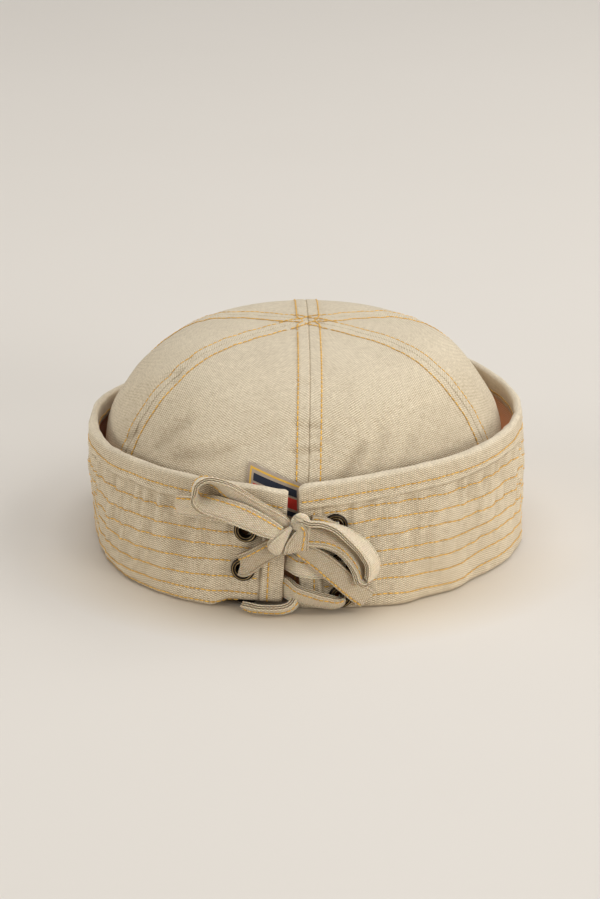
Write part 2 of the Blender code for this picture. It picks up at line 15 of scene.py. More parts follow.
import bpy
import numpy as np
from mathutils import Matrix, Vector


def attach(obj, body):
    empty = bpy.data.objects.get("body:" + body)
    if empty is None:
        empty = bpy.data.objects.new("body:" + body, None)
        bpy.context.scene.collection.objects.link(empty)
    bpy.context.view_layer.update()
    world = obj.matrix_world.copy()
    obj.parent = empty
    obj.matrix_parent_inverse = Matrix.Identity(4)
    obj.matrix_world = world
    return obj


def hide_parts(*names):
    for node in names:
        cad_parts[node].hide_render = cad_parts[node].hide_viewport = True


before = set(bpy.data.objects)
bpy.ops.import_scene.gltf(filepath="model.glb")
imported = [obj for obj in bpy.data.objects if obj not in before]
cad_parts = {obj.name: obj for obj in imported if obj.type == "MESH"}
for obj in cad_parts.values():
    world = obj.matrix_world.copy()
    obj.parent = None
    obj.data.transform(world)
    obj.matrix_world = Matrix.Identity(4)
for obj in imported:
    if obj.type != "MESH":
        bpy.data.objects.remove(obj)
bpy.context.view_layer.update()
mm = 0.001

# %% [markdown]
# ## The camera
#
# The photograph looks at the back of the cap from a little above, through a long lens, so the cuff's sides
# hardly draw together. A long lens is placed far off and aimed with a direction vector, which says what is
# wanted more plainly than three angles would.

# %% Camera
CAMERA_DISTANCE = 1.2
CAMERA_RISE = math.radians(20.2)
CAMERA_AIM = Vector((-0.0026, 0.0, 0.036))
view_back = Vector((0.0, -math.cos(CAMERA_RISE), math.sin(CAMERA_RISE)))
camera = bpy.data.objects.new("camera", bpy.data.cameras.new("camera"))
camera.location = CAMERA_AIM + view_back * CAMERA_DISTANCE
camera.rotation_euler = (-view_back).to_track_quat("-Z", "Y").to_euler()
camera.data.lens = 106.8
camera.data.clip_start = 0.05
bpy.context.scene.collection.objects.link(camera)
bpy.context.scene.camera = camera
print(f"camera at {tuple(round(c, 3) for c in camera.location)}")

# %% [markdown]
# ## A grid of points becomes a mesh
#
# Cloth is a surface with two directions. If the points of a piece are an array of rows and columns, the
# faces follow from the numbering alone, and the same numbering carries the cloth's own coordinates into a
# UV map. A weave drawn on that map follows the cloth round every fold.

# %% Grid to mesh
def volume_sign(points, faces):
    """Six times the volume inside the faces, summed as corner . (corner x corner)."""
    a, b, c, d = (points[faces[:, k]] for k in range(4))
    return float((np.cross(a, b) * c).sum() + (np.cross(a, c) * d).sum())


def placed(name, mesh, **marks):
    """An object for a mesh. marks are numbers for each point, kept as attributes for the materials."""
    for mark, values in marks.items():
        mesh.attributes.new(mark, "FLOAT", "POINT").data.foreach_set("value", values.astype(np.float32).ravel())
    mesh.shade_smooth()
    made = bpy.data.objects.new(name, mesh)
    bpy.context.scene.collection.objects.link(made)
    return made


def surface(name, points, uv, wrap=(False, False), capped=False, flat_angle=50.0, **marks):
    """A mesh object through a grid of points, shape (rows, columns, 3), with its faces pointing outward.

    uv has one more row or column where the grid wraps. capped closes both ends of a grid whose rows wrap.
    """
    rows, columns = points.shape[:2]
    i, j = np.meshgrid(np.arange(rows - 1 + wrap[0]), np.arange(columns - 1 + wrap[1]), indexing="ij")
    i, j = i.reshape(-1, 1) + [0, 1, 1, 0], j.reshape(-1, 1) + [0, 0, 1, 1]
    faces, flat = (i % rows) * columns + j % columns, points.reshape(-1, 3) * mm
    order = -1 if volume_sign(flat, faces) < 0 else 1
    corners, starts = faces[:, ::order].ravel(), np.arange(len(faces)) * 4
    corner_uv = uv[i[:, ::order].ravel(), j[:, ::order].ravel()] * mm
    if capped:
        near, far = np.arange(rows)[::order], np.arange(rows)[::-order]
        starts = np.concatenate([starts, [len(corners), len(corners) + rows]])
        corners = np.concatenate([corners, near * columns, (far + 1) * columns - 1])
        corner_uv = np.concatenate([corner_uv, uv[near, 0] * mm, uv[far, columns - 1] * mm])
    mesh = bpy.data.meshes.new(name)
    mesh.vertices.add(len(flat))
    mesh.vertices.foreach_set("co", flat.astype(np.float32).ravel())
    mesh.loops.add(len(corners))
    mesh.loops.foreach_set("vertex_index", corners.astype(np.int32))
    mesh.polygons.add(len(starts))
    mesh.polygons.foreach_set("loop_start", starts.astype(np.int32))
    mesh.update(calc_edges=True)
    mesh.uv_layers.new(name="cloth").data.foreach_set("uv", corner_uv.astype(np.float32).ravel())
    marks = {mark: np.broadcast_to(values, (rows, columns)) for mark, values in marks.items()}
    made = placed(name, mesh, **marks)
    mesh.set_sharp_from_angle(angle=math.radians(flat_angle))
    return made


def on_cap(made, slot, *stands_for):
    """Fixes a piece to the cap and hides the measured pieces it stands for. The finish named by slot is not
    used.
    """
    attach(made, "root")
    if stands_for:
        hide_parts(*stands_for)
    return made


def step(x):
    """A smooth step: 3x^2 - 2x^3 between 0 and 1, level outside."""
    x = np.clip(x, 0.0, 1.0)
    return x * x * (3 - 2 * x)


def hump(x, width):
    """A bell of height 1: e^(-(x / width)^2)."""
    return np.exp(-((x / width) ** 2))


def rumple(u, v, seed):
    """Smooth random waves from -1 to 1: random heights on a lattice one apart, joined by smooth steps."""
    heights = np.random.default_rng(seed).uniform(-1, 1, (97, 97))
    i, j = np.floor(u).astype(int), np.floor(v).astype(int)
    a, b = step(u - i), step(v - j)
    low, high = (heights[i % 97, k % 97] * (1 - a) + heights[(i + 1) % 97, k % 97] * a for k in (j, j + 1))
    return low * (1 - b) + high * b


def unit(vectors):
    """Vectors divided by their lengths."""
    return vectors / np.maximum(np.linalg.norm(vectors, axis=-1, keepdims=True), 1e-12)


def pairs(a, b):
    """A grid of (a, b), for a UV map."""
    return np.stack(np.broadcast_arrays(a, b), axis=-1)


print("helpers ready")

# %% [markdown]
# ## The plan of the cuff
#
# Seen from above the cuff is a rounded oval, |x/a|^p + |y/b|^p = 1 with p a little over 2. Worn cloth is
# never quite regular, so a short table says, every few degrees round the cap, how high the rim is, how far
# the face leans out at the rim, half way down and at the fold, and where the fold is lifted off the table.
# A cubic that never overshoots joins the rows of a table.

# %% The cuff's measures
HALF_WIDTH, HALF_DEPTH, OVAL_POWER = 96.0, 98.5, 2.1
CUFF_THICK, FOLD_RADIUS = 2.0, 3.0


def tables(text):
    """The tables in a text, by name. Each starts with a line of its name, ":" and its columns' names."""
    found = {}
    for line in text.strip().splitlines():
        if ":" in line:
            rows = found[line.split(":")[0]] = []
        else:
            rows.append([float(word) for word in line.split()])
    return {name: np.array(rows) for name, rows in found.items()}


CUFF_SHAPE = tables("""
cuff: angle rim rim_out middle_out base_out lift
-180 56 -0.9 -0.2 -0.4 0
-165 55.4 0 -0.2 -1.6 0
-150 55.5 0.3 0.2 0.2 0
-138 56.4 0 0.8 2.6 0
-124 56.4 0 0.6 3.8 0
-114 56.2 0 0.2 3.6 0
-109 56 0 -0.2 1.2 3
-101 55.4 0 -0.4 0 3
-96 54.2 0 -0.6 -0.6 2.5
-92 56.2 0 -0.5 -0.9 0
-85 58 0 -0.3 -0.7 0
-75 59.8 0 0 0.4 0
-66 61 0.2 0.4 2.6 0
-59 61.4 0.2 0.3 0.6 0
-51 61.6 0.2 0.4 1.6 0
-43 61.6 0 0 -0.4 0
-30 61.5 -0.4 0.3 1.2 0
-16 60.8 -0.6 1 2.6 0
0 59.5 -0.7 0.8 1 0
20 59.4 -2.2 0 0 0
45 60.2 -1.8 0 0 0
90 58 0 0 -0.6 0
140 50.6 -0.6 0 0 0
162 53.6 -1.6 0 0 0
""")["cuff"]


def eased(at, places, values, period=None):
    """Values of a table at any places: a cubic between rows whose slope is the rows' harmonic mean slope."""
    if period:
        places = np.concatenate([places - period, places, places + period])
        at = (at - places[len(values)]) % period + places[len(values)]
        values = np.tile(values, 3)
    slopes = np.diff(values) / np.diff(places)
    before, after = slopes[:-1], slopes[1:]
    both = np.where(before * after > 0, before + after, 1.0)
    inner = np.where(before * after > 0, 2 * before * after / both, 0.0)
    slopes = np.concatenate([slopes[:1], inner, slopes[-1:]])
    row = np.clip(np.searchsorted(places, at, side="right") - 1, 0, len(places) - 2)
    span = places[row + 1] - places[row]
    t = (at - places[row]) / span
    return (
        values[row] * (2 * t**3 - 3 * t**2 + 1)
        + slopes[row] * span * (t**3 - 2 * t**2 + t)
        + values[row + 1] * (3 * t**2 - 2 * t**3)
        + slopes[row + 1] * span * (t**3 - t**2)
    )


def cuff_row(angle):
    """Rim, rim out, middle out, base out and lift at plan angles."""
    return [eased(angle, CUFF_SHAPE[:, 0], CUFF_SHAPE[:, k], 360.0) for k in range(1, 6)]


def oval_radius(angle, inset=0.0):
    """Radius of the oval at plan angles, with inset taken off its half width and half depth."""
    turn = np.radians(angle)
    across, deep = np.abs(np.cos(turn)) / (HALF_WIDTH - inset), np.abs(np.sin(turn)) / (HALF_DEPTH - inset)
    return (across**OVAL_POWER + deep**OVAL_POWER) ** (-1 / OVAL_POWER)


def in_plan(angle, radius, z):
    """Points at plan angles, radii and heights."""
    turn = np.radians(angle)
    return np.stack([radius * np.cos(turn), radius * np.sin(turn), z], axis=-1)


def lean(angle, z):
    """How far the plain face stands out from the oval at a height: a parabola through three heights."""
    rim, top, middle, base, lift = cuff_row(angle)
    t = (z - lift) / (rim - lift)
    return base * (1 - t) * (1 - 2 * t) + middle * 4 * t * (1 - t) + top * t * (2 * t - 1)


def back_y(x):
    """y of the oval's back at x."""
    return -HALF_DEPTH * (1 - (np.abs(x) / HALF_WIDTH) ** OVAL_POWER) ** (1 / OVAL_POWER)


def back_angle(x):
    """Plan angle, in degrees, of the oval's back at x."""
    return np.degrees(np.arctan2(back_y(x), x))


print(f"rim from {CUFF_SHAPE[:, 1].min()} to {CUFF_SHAPE[:, 1].max()} mm high")

# %% [markdown]
# ## The lace
#
# The lace is a flat tape: a strip of the cap's canvas folded in three and stitched down one edge, which is
# why its edges show two fine grooves, like piping. It is limp over its thin side and stiff over its wide
# one. A route of a few points says where its middle goes, and a second vector at each point says which way
# it is wide. A smooth curve through both carries one section, drawn once, along the whole stretch.
#
# The bow's loops and tails are free cords. Each side is one tape that leaves the knot, turns back into
# it as a loop, and comes out again as a tail with a plain cut end.

# %% Routes of the lace
TAPE_WIDTH, TAPE_THICK = 9.2, 2.5
# out is how far the tape stands off the oval, (wx, wz, wo) points to its stitched edge, and full is the
# share of its width that is spread there. The left loop has 15 rows and the right one 16; the rest is tail.
ROUTES = tables("""
left: x z out wx wz wo full
-10.6 38.1 8 0.45 0.85 -0.2 0.62
-17 41 8.8 0.42 0.86 -0.3 0.95
-23.2 44 9.2 0.38 0.86 -0.34 1.05
-29.8 46.4 9.3 0.34 0.86 -0.38 1.03
-36.5 47.6 9 0.22 0.78 -0.58 1
-41.9 48 8.5 0.1 0.5 -0.86 1
-45.4 49.6 8 0.02 0.15 -0.98 1
-46.3 52.7 7.5 0 -0.05 -1 1
-44.8 56 6.9 -0.02 -0.15 -0.98 1
-41.2 57.8 6.3 -0.05 -0.3 -0.95 1
-36.9 57.2 5.8 -0.1 -0.55 -0.83 1
-31.5 54 5.2 -0.25 -0.82 -0.5 1
-24.9 49.2 4.8 -0.32 -0.9 -0.3 1
-17.9 45.1 4.7 -0.42 -0.9 -0.15 0.95
-10 41.8 5 -0.45 -0.88 -0.05 0.65
-6.7 37.5 4.6 -0.35 -0.94 0 0.45
-10.9 36.4 3.2 -0.2 -0.98 0 0.55
-16.7 38.8 3.2 -0.18 -0.98 0 0.8
-23.3 41.3 3 -0.14 -0.99 0 0.95
-33.8 43.6 2.6 -0.1 -0.99 0 1
-44.3 44 2.5 -0.05 -1 0 1
-54 43 2.6 0 -1 0 1
right: x z out wx wz wo full
-1.8 43.1 6.8 0 0.34 0.94 0.7
1.1 42.4 7.2 0 0.34 0.94 0.85
6.5 42.1 7.7 -0.02 0.32 0.95 0.95
12 40.3 8 -0.1 0.2 0.97 0.94
18.1 35.9 8 -0.3 -0.05 0.95 0.9
23.5 30.7 7.7 -0.45 -0.15 0.88 0.92
26.9 24.8 7.3 -0.5 -0.05 0.86 1
27.5 19.7 7 -0.5 0.05 0.86 1
25.7 15.8 6.6 -0.4 0.05 0.9 1
23 16.9 6.3 -0.35 -0.2 0.9 1
21.7 21.3 6.1 -0.32 -0.4 0.86 1
18.7 27.3 6 -0.28 -0.58 0.76 1
14.2 32.6 6.2 -0.18 -0.72 0.66 1
8.2 35.6 6.6 -0.08 -0.76 0.65 1
1.3 36.3 6.9 0 -0.8 0.6 0.9
-1.4 36.8 7 0 -0.8 0.6 0.7
-3.8 34.2 6.2 -0.3 -0.85 0.3 0.5
-2.6 31.4 7 -0.5 -0.85 0 0.65
4.9 26.4 6.8 -0.6 -0.8 0 0.95
12 19.4 5.6 -0.62 -0.78 0 1
19.1 11.6 3.8 -0.62 -0.78 0 1
25.4 5.6 2.6 -0.55 -0.83 0 1
lace_lead_left: x z out wx wz wo full
-25.2 18.7 -1 0 1 0 0.34
-25.2 19.1 0.4 0 1 0 0.46
-25.9 19.9 1.5 0.05 1 0 0.86
-26.5 20.6 2.6 0.08 1 0 1.04
-25.9 21.4 3.7 -0.05 0.99 0.05 1.12
-23.6 23.2 4.1 -0.25 0.97 0.03 1.08
-20.1 25.8 4.1 -0.4 0.9 0.05 1
-15.3 29 4.3 -0.42 0.9 0.05 1
-10.1 32.4 4.8 -0.42 0.9 0.05 0.8
lace_lead_right: x z out wx wz wo full
2.4 41.8 2.3 0 1 0 0.42
6.5 41.3 2.3 0 1 0 0.42
10.2 39.8 2.4 0 1 0 0.38
12 38.8 1.2 0 1 0 0.36
12.1 38.6 -0.6 0 1 0 0.36
lace_upper_cross: x z out wx wz wo full
-24.2 32 -4.9 0.5 0.85 0 0.6
-17.5 26.6 -5.2 0.5 0.85 0 0.9
-10.4 22.6 -5.4 0.3 0.95 0 0.95
-6.2 21.5 -1.7 0.15 0.99 0 0.95
-2.4 21.2 2.5 0.1 0.99 0 0.95
5 20.2 2.9 0.1 0.99 0 0.9
11 20.6 3 0 1 0 0.7
14.6 21.1 1.8 0 1 0 0.42
15.1 21.4 -0.6 0 1 0 0.38
lace_lower_cross: x z out wx wz wo full
-25.6 15.8 -4.9 0.3 0.95 0 0.6
-18 12.2 -5.2 0.25 0.96 0 0.85
-11.9 10.4 -5 0.2 0.97 0.1 0.95
-8.4 10 -1.6 0.2 0.93 0.2 1
-5.1 9.4 2.4 0.2 0.88 0.42 1
-2 8.6 3.6 0.2 0.84 0.5 1
2.4 7.3 3.9 0.2 0.84 0.5 0.97
7.4 6 3.8 0.2 0.84 0.5 0.88
12 5 3.2 0.15 0.92 0.3 0.56
14.8 4.9 1.6 0 1 0 0.36
15.2 5.4 -0.8 0 1 0 0.34
lace_bottom_run: x z out wx wz wo full
-26 2.8 4.2 -0.3 0.73 0.66 0.5
-23 2.8 5.9 -0.1 0.71 0.7 0.54
-18.5 2.8 6.7 0 0.71 0.71 0.54
-13.1 2.8 6.4 0 0.71 0.71 0.54
-9 3.1 5.3 0 0.74 0.66 0.54
-6 4 3.4 -0.1 0.8 0.55 0.54
-4.4 5.6 1.2 -0.2 0.86 0.4 0.54
-4.2 7.4 -1.2 -0.2 0.9 0.2 0.54
""")
BOW = ("left", "right")


def curve_through(rows, samples):
    """A Catmull-Rom curve: each stretch is 0.5 (1, t, t^2, t^3) times a fixed matrix times four rows."""
    padded = np.vstack([2 * rows[0] - rows[1], rows, 2 * rows[-1] - rows[-2]])
    a, b, c, d = (padded[k : k + len(rows) - 1, None] for k in range(4))
    t = (np.arange(samples) / samples)[None, :, None]
    curve = 0.5 * (2 * b + (c - a) * t + (2 * a - 5 * b + 4 * c - d) * t**2 + (3 * b - a - 3 * c + d) * t**3)
    return np.vstack([curve.reshape(-1, rows.shape[1]), rows[-1]])


def along(points):
    """Distance travelled along a line of points."""
    return np.concatenate([[0.0], np.cumsum(np.linalg.norm(np.diff(points, axis=0), axis=1))])


def route_frame(route, samples):
    """Middle line, wide direction, thin direction and the other columns of a route, along a smooth curve."""
    middle = np.stack([route[:, 0], back_y(route[:, 0]) - route[:, 2], route[:, 1]], axis=1)
    wide = np.stack([route[:, 3], -route[:, 5], route[:, 4]], axis=1)
    path = curve_through(np.hstack([middle, wide, route[:, 6:]]), samples)
    middle, wide = path[:, :3], path[:, 3:6]
    forward = unit(np.gradient(middle, axis=0))
    wide = unit(wide - forward * (forward * wide).sum(axis=1, keepdims=True))
    return middle, wide, np.cross(forward, wide), *path[:, 6:].T


def tape_section():
    """The tape's section, as (across, through): two faces a little crowned, and two edges that bulge as
    three half rounds, one for each layer. The second result is painted shade: darker in the grooves between
    the layers and along the faces' stitched seams."""
    across = np.array([-0.86, -0.80, -0.74, -0.6, -0.4, -0.15, 0.15, 0.4, 0.6, 0.74, 0.80, 0.86])
    seam = hump(np.abs(across) - 0.80, 0.04)
    face = np.stack([across, 1 - 0.12 * across**4 - 0.14 * seam], axis=1)
    through = np.array([0.92, 0.82, 0.66, 0.50, 0.40, 0.33, 0.26, 0.14, 0.0])
    through = np.concatenate([through, -through[-2::-1]])
    layer = ((through + 0.99) % 0.66 - 0.33) / 0.33
    edge = np.stack([0.885 + 0.115 * np.sqrt(np.clip(1 - layer**2, 0, 1)), through], axis=1)
    groove = -1.30 * hump(np.abs(through) - 0.33, 0.17)
    return np.concatenate([face, edge, -face, -edge]), np.concatenate([-0.55 * seam, groove] * 2)


def tape_points(route, section, samples=10):
    """Points of a tape: middle + wide * half width * across + thin * (half thickness * through + ripple)."""
    middle, wide, thin, share = route_frame(route, samples)
    distance, seed = along(middle), len(route)
    half = TAPE_WIDTH / 2 * share * (1 + 0.03 * rumple(distance / 6, 0 * distance + seed, 11))
    thick = TAPE_THICK / 2 * (1 + 0.35 * (1 - np.minimum(share, 1.0)))
    ripple = 0.22 * rumple(distance[None] / 4, section[:, :1] * 1.4 + 7, seed + 3)
    reach, depth = half[None] * section[:, :1], thick[None] * section[:, 1:] + ripple
    return middle + wide * reach[..., None] + thin * depth[..., None], middle, thin


def tape_darkening(through, row, side):
    """Darker cloth on a bow tape, at a share through its thickness and a row of its route: painted shade on the
    inner faces of the loop, and a darker stretch along the right one's tail, less dark toward its tip."""
    inner = {"right": 1, "left": -1, None: 0}[side] * through > 0.5
    toward_tail = 0.46 * step((row - 15.5) / 1.5) - 0.24 * step((row - 18.6) / 1.8)
    return -0.16 * inner * step(row) * step(14.5 - row) - (side == "right") * toward_tail


def sleeve(name, points, middle, ring, shade):
    """A closed tube. Its UV map is the distance along its middle and the distance round its section, ring."""
    uv = pairs(along(middle)[None], along(np.vstack([ring, ring[:1]]))[:, None])
    return surface(name, points, uv, wrap=(True, False), capped=True, flat_angle=70.0, shade=shade)


def tape_mesh(name, route, side=None, tone=0.0, samples=10):
    """Carries the tape's section along a route and closes both ends. Its shade mark is painted shade in its
    grooves, darker all along by tone, and on the bow by its darker stretches.
    """
    section, groove = tape_section()
    points, middle, _ = tape_points(route, section, samples)
    shade = groove[:, None] + tone + tape_darkening(section[:, 1:], np.arange(len(middle)) / samples, side)
    print(f"{name}: {along(middle)[-1]:.0f} mm of tape")
    return sleeve(name, points, middle, section * [TAPE_WIDTH / 2, TAPE_THICK / 2], shade), middle


# %% The bow's two free tapes
laces = []
for side in BOW:
    tape, line = tape_mesh(f"lace_{side}_loop_and_tail", ROUTES[side], side)
    line = line * mm
    laces.append(on_cap(tape, "lace_canvas", f"lace_loop_{side}", f"lace_tail_{side}"))

# %% The stretches between the eyelets
for name in [name for name in ROUTES if name not in BOW]:
    tone = {"lace_lead_left": -0.46, "lace_lower_cross": -0.16}.get(name, -0.06)
    laces.append(on_cap(tape_mesh(f"{name}_tape", ROUTES[name], tone=tone)[0], "lace_canvas", name))

# %% [markdown]
# ## The knot
#
# The knot is the tape wrapped once round itself and drawn tight: a round turn at the top, a band that fans
# out over the front with its stitched edge on the right, and a soft roll where it tucks under on the left.
# A single lump would not show those three. The band is the same tape, and the rest are swept pillows
# whose section is a rounded box.

# %% Knot
# The last two columns of a pillow are its half width and half thickness.
KNOT = tables("""
band: x z out wx wz wo full
-5.2 41 6.6 0.1 1 0 0.3
-4.2 41.7 8.2 0 1 0 0.32
-2.6 41.5 9.3 0.6 0.8 0 0.4
-1.8 39.8 9.9 0.96 0.25 0 0.58
-2.5 37 10.2 0.98 0.2 0 0.8
-3.5 34 9.9 0.98 0.22 0 1.02
-4.2 31.8 9 0.97 0.25 0 1.14
-4.6 30.7 7.2 0.97 0.25 0 1.12
-4.6 31 5.2 0.97 0.25 0 0.95
top: x z out wx wz wo half_width half_thick
-5.2 40.6 5.2 0.8 -0.6 0 1.2 1.2
-4.4 42.8 6.2 0.9 -0.4 0 2 2
-2.9 44.3 7 0.6 0.8 0 2.4 2.5
-1.3 44 7.2 0.6 0.8 0 2.5 2.5
-0.2 42 6.8 1 0.2 0 2.2 2.2
0 39 6 1 0 0 1.7 1.7
roll: x z out wx wz wo half_width half_thick
-6.1 41.1 8.2 0.7 -0.7 0.05 0.8 0.8
-7.8 39.4 9 0.7 -0.7 0.08 1.6 1.4
-9.5 37 9.3 0.7 -0.7 0.1 2.6 2
-11 34.6 8.9 0.74 -0.67 0.1 3.6 2.4
-12.3 32.3 8.1 0.8 -0.6 0.1 4.1 2.5
-13.3 30.5 7.1 0.8 -0.6 0.1 3.3 2.1
-14 29.4 6.3 0.8 -0.6 0.1 1.3 0.9
core: x z out wx wz wo half_width half_thick
-9.6 36.4 5.6 0.1 1 0 2.4 1.4
-6.6 36.4 6 0.05 1 0 4.4 2.2
-2.6 36.8 6.2 0 1 0 4.8 2.4
0.6 37 6 0 1 0 3.8 2
2 37.4 5.8 0 1 0 2 1.2
""")
KNOT_PILLOWS = {"top": (2.0, 0.36), "roll": (2.4, 0.84), "core": (2.2, 0.80)}


def pillow(name, rows, roundness, crease):
    """Carries a rounded section, |a|^n + |b|^n = 1, along a route, with its own half width and thickness, and
    with two grooves along it where a is plus and minus crease, darkened with painted shade."""
    middle, wide, thin, half, thick = route_frame(rows, 8)
    turn = np.linspace(0, 2 * math.pi, 37)[:-1, None]
    a, b = (np.sign(wave) * np.abs(wave) ** (2 / roundness) for wave in (np.cos(turn), np.sin(turn)))
    groove = hump(np.abs(a) - crease, 0.09)
    a, b = a * (1 - 0.07 * groove), b * (1 - 0.07 * groove)
    points = middle + wide * (half * a)[..., None] + thin * (thick * b)[..., None]
    return sleeve(name, points, middle, np.hstack([a * 5, b]), -0.75 * groove)


knot_band = tape_mesh("lace_knot_band", KNOT["band"], tone=-0.30, samples=8)[0]
knot = [knot_band] + [pillow(f"lace_knot_{part}", KNOT[part], *shape) for part, shape in KNOT_PILLOWS.items()]
laces += [on_cap(piece, "lace_canvas") for piece in knot]
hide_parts("lace_knot")
print("knot of", len(knot), "turns")

# %% [markdown]
# ## The cuff's cloth
#
# The cuff is one band of doubled canvas. It is hemmed along its rim and down both sides of the opening,
# quilted with rows of stitching that run parallel to the rim, folded at the table and turned in under the
# crown. Going down the cloth from the rim, distance d along it is a natural parameter: the wall, then a
# quarter turn round the fold, then the foot. The other parameter, u, is the distance round the cap.
#
# Stitching draws the two layers together, so each row is a shallow groove with small puckers beside it.
# These are added as a relief on the outward direction. The rows aren't evenly spaced, so a table gives
# their depths at ten places, and the relief's deepest folds stop short of the lining behind them.

# %% Shape of the cuff's cloth
ROUND = 605.0  # once round the cuff, from flap edge to flap edge
FOLD_DEPTH = 54.0  # from the rim down to the fold at the back
LINING_V = 140.0  # where the lining's rim lies in the cloth's UV map
RIGHT_FLAP_X, LEFT_FLAP_X = np.array([-3.2, -3.0]), np.array([-7.5, -10.4])
HEM_DEPTH, SIDE_HEM, SIDE_ROW, RIM_ROUND = 10.6, 9.3, 6.3, 1.35
ROW_DEPTHS = tables("""
rows: round row_1 row_2 row_3 row_4 row_5 row_6 row_7 row_8
30 7.3 13.7 20.2 28 34.5 40.9 47.2 54.1
50 7.3 14.8 21.7 28.2 35.9 42.5 49.1 56.1
72 7.3 15.6 23 29.5 36.4 43.3 50 57.3
95 7.3 16.2 23.8 29.5 36.4 42.2 48.6 55.6
200 7.3 16 23.4 30 36.6 43 49.4 54.6
420 7.3 16.6 24.2 31 37.6 44 50.2 54.4
521 7.3 17.5 25.2 32.3 38.8 45.1 51.4 54.6
551 7 16.6 24.2 30.7 37.4 44.5 50.4 54.4
575 7.3 15.6 22.5 28.9 35.5 42.4 49 54
605 7.3 15 21.8 28.2 34.8 41.6 48.4 53.6
""")["rows"]
ROWS = ROW_DEPTHS.shape[1] - 1


def cuff_angle(u, share):
    """Plan angle at a distance u from the right flap's edge. share is 0 at the rim and 1 at the fold."""
    right, left = back_angle(RIGHT_FLAP_X), back_angle(LEFT_FLAP_X) + 360.0
    start = right[0] + (right[1] - right[0]) * share
    end = left[0] + (left[1] - left[0]) * share
    return start + (end - start) * u / ROUND


def row_line(u, number):
    """Depth of one stitch row, with the slight wander of a hand-guided seam."""
    depth = eased(u, ROW_DEPTHS[:, 0], ROW_DEPTHS[:, number + 1], 1000.0)
    return depth + 0.28 * rumple(u / 24, u * 0 + number * 5.3, 21)


def hem_line(u):
    """Depth of the rim hem's turned edge."""
    return HEM_DEPTH + 0.45 * rumple(u / 9, u * 0 + 2.5, 22)


def row_starts(number, e):
    """1 where a row is sewn, e from the opening: the first from the edge, the others inside the side hem."""
    return 1.0 if number == 0 else step(e - SIDE_HEM)


def gathers(u, d):
    """Upright puckers below the rim hem, from -1 to 1: two sets of waves across the cloth, fading downward."""
    e = np.minimum(u, ROUND - u)
    fade = step((d - hem_line(u)) / 1.5) * (1 - 0.75 * step((d - 15) / 40))
    fade = fade * step((e - 11) / 12) * (0.95 + 0.30 * rumple(u / 26, d * 0 + 4, 33))
    waves = 1.2 * rumple((u + 0.18 * d) / 2.9, d / 15 + 3, 31)
    return (waves + 0.7 * rumple((u - 0.1 * d) / 5.2, d / 12 + 3, 32)) * fade


def cuff_relief(u, d):
    """Outward relief of the cuff's face: hems, stitch grooves, puckers and broad waves."""
    e, hem = np.minimum(u, ROUND - u), hem_line(u)
    top = step((hem - d) / 0.45 + 0.5)
    side = step((SIDE_HEM - e) / 0.45 + 0.5) * (1 - 0.3 * top)
    relief = 0.75 * np.maximum(top, side)
    relief += 0.38 * hump(d - hem + 0.9, 0.75) * (1 + 0.6 * rumple(u / 5, u * 0 + 1, 23))
    relief += 0.28 * hump(e - SIDE_HEM + 0.9, 0.75) * (1 - top)
    roping = np.sin(2 * math.pi * (u / 7.5 + d / 8) + 2.5 * rumple(u / 30, d * 0, 24))
    relief += 0.14 * roping * hump(d - 8.6, 2.2)
    for number in range(ROWS):
        away, here = d - row_line(u, number), row_starts(number, e)
        ripple = rumple(u / 2.9 + number * 17, d / 7, 25) + 0.6 * rumple(u / 5.5 - number * 9, d / 9, 26)
        relief += (0.24 * ripple * np.exp(-np.abs(away) / 2.6) - 0.24 * hump(away, 0.80)) * here
    puckers = 0.16 * rumple(d / 2.9, e / 6, 27) * np.exp(-np.abs(e - SIDE_ROW) / 2.2)
    relief += (puckers - 0.30 * hump(e - SIDE_ROW, 0.70)) * (1 - top)
    relief += 1.25 * gathers(u, d) + 0.50 * rumple(u / 21, d / 17, 28) + 0.28 * rumple(u / 9, d / 13, 29)
    return np.where(relief < 0, 1.4 * np.tanh(relief / 1.4), relief)


def cuff_shade(u, d):
    """Painted light and shade on the cuff's cloth. Below 0 it is painted shade: under the hems' turned edges,
    in the stitch grooves and in the valleys of the puckers. Above 0 it is painted light: a painted highlight
    along the rim and on the crests of the puckers, and paler edges on the hem's fold and the flaps, partly
    worn and partly painted highlight.
    """
    e, hem = np.minimum(u, ROUND - u), hem_line(u)
    shade = -0.7 * hump(d - hem - 0.45, 0.50) * (0.6 + 0.5 * rumple(u / 5, d * 0, 34))
    shade -= 0.7 * hump(e - SIDE_HEM - 0.45, 0.42) * step(d - hem)
    shade += 0.45 * hump(d - hem + 0.8, 0.5) + 0.8 * hump(d, 1.8) + 0.3 * hump(e, 0.7)
    shade += 0.30 * np.clip(gathers(u, d), -1, 1)
    for number in range(ROWS):
        shade -= 0.16 * hump(d - row_line(u, number), 0.45) * row_starts(number, e)
    return shade


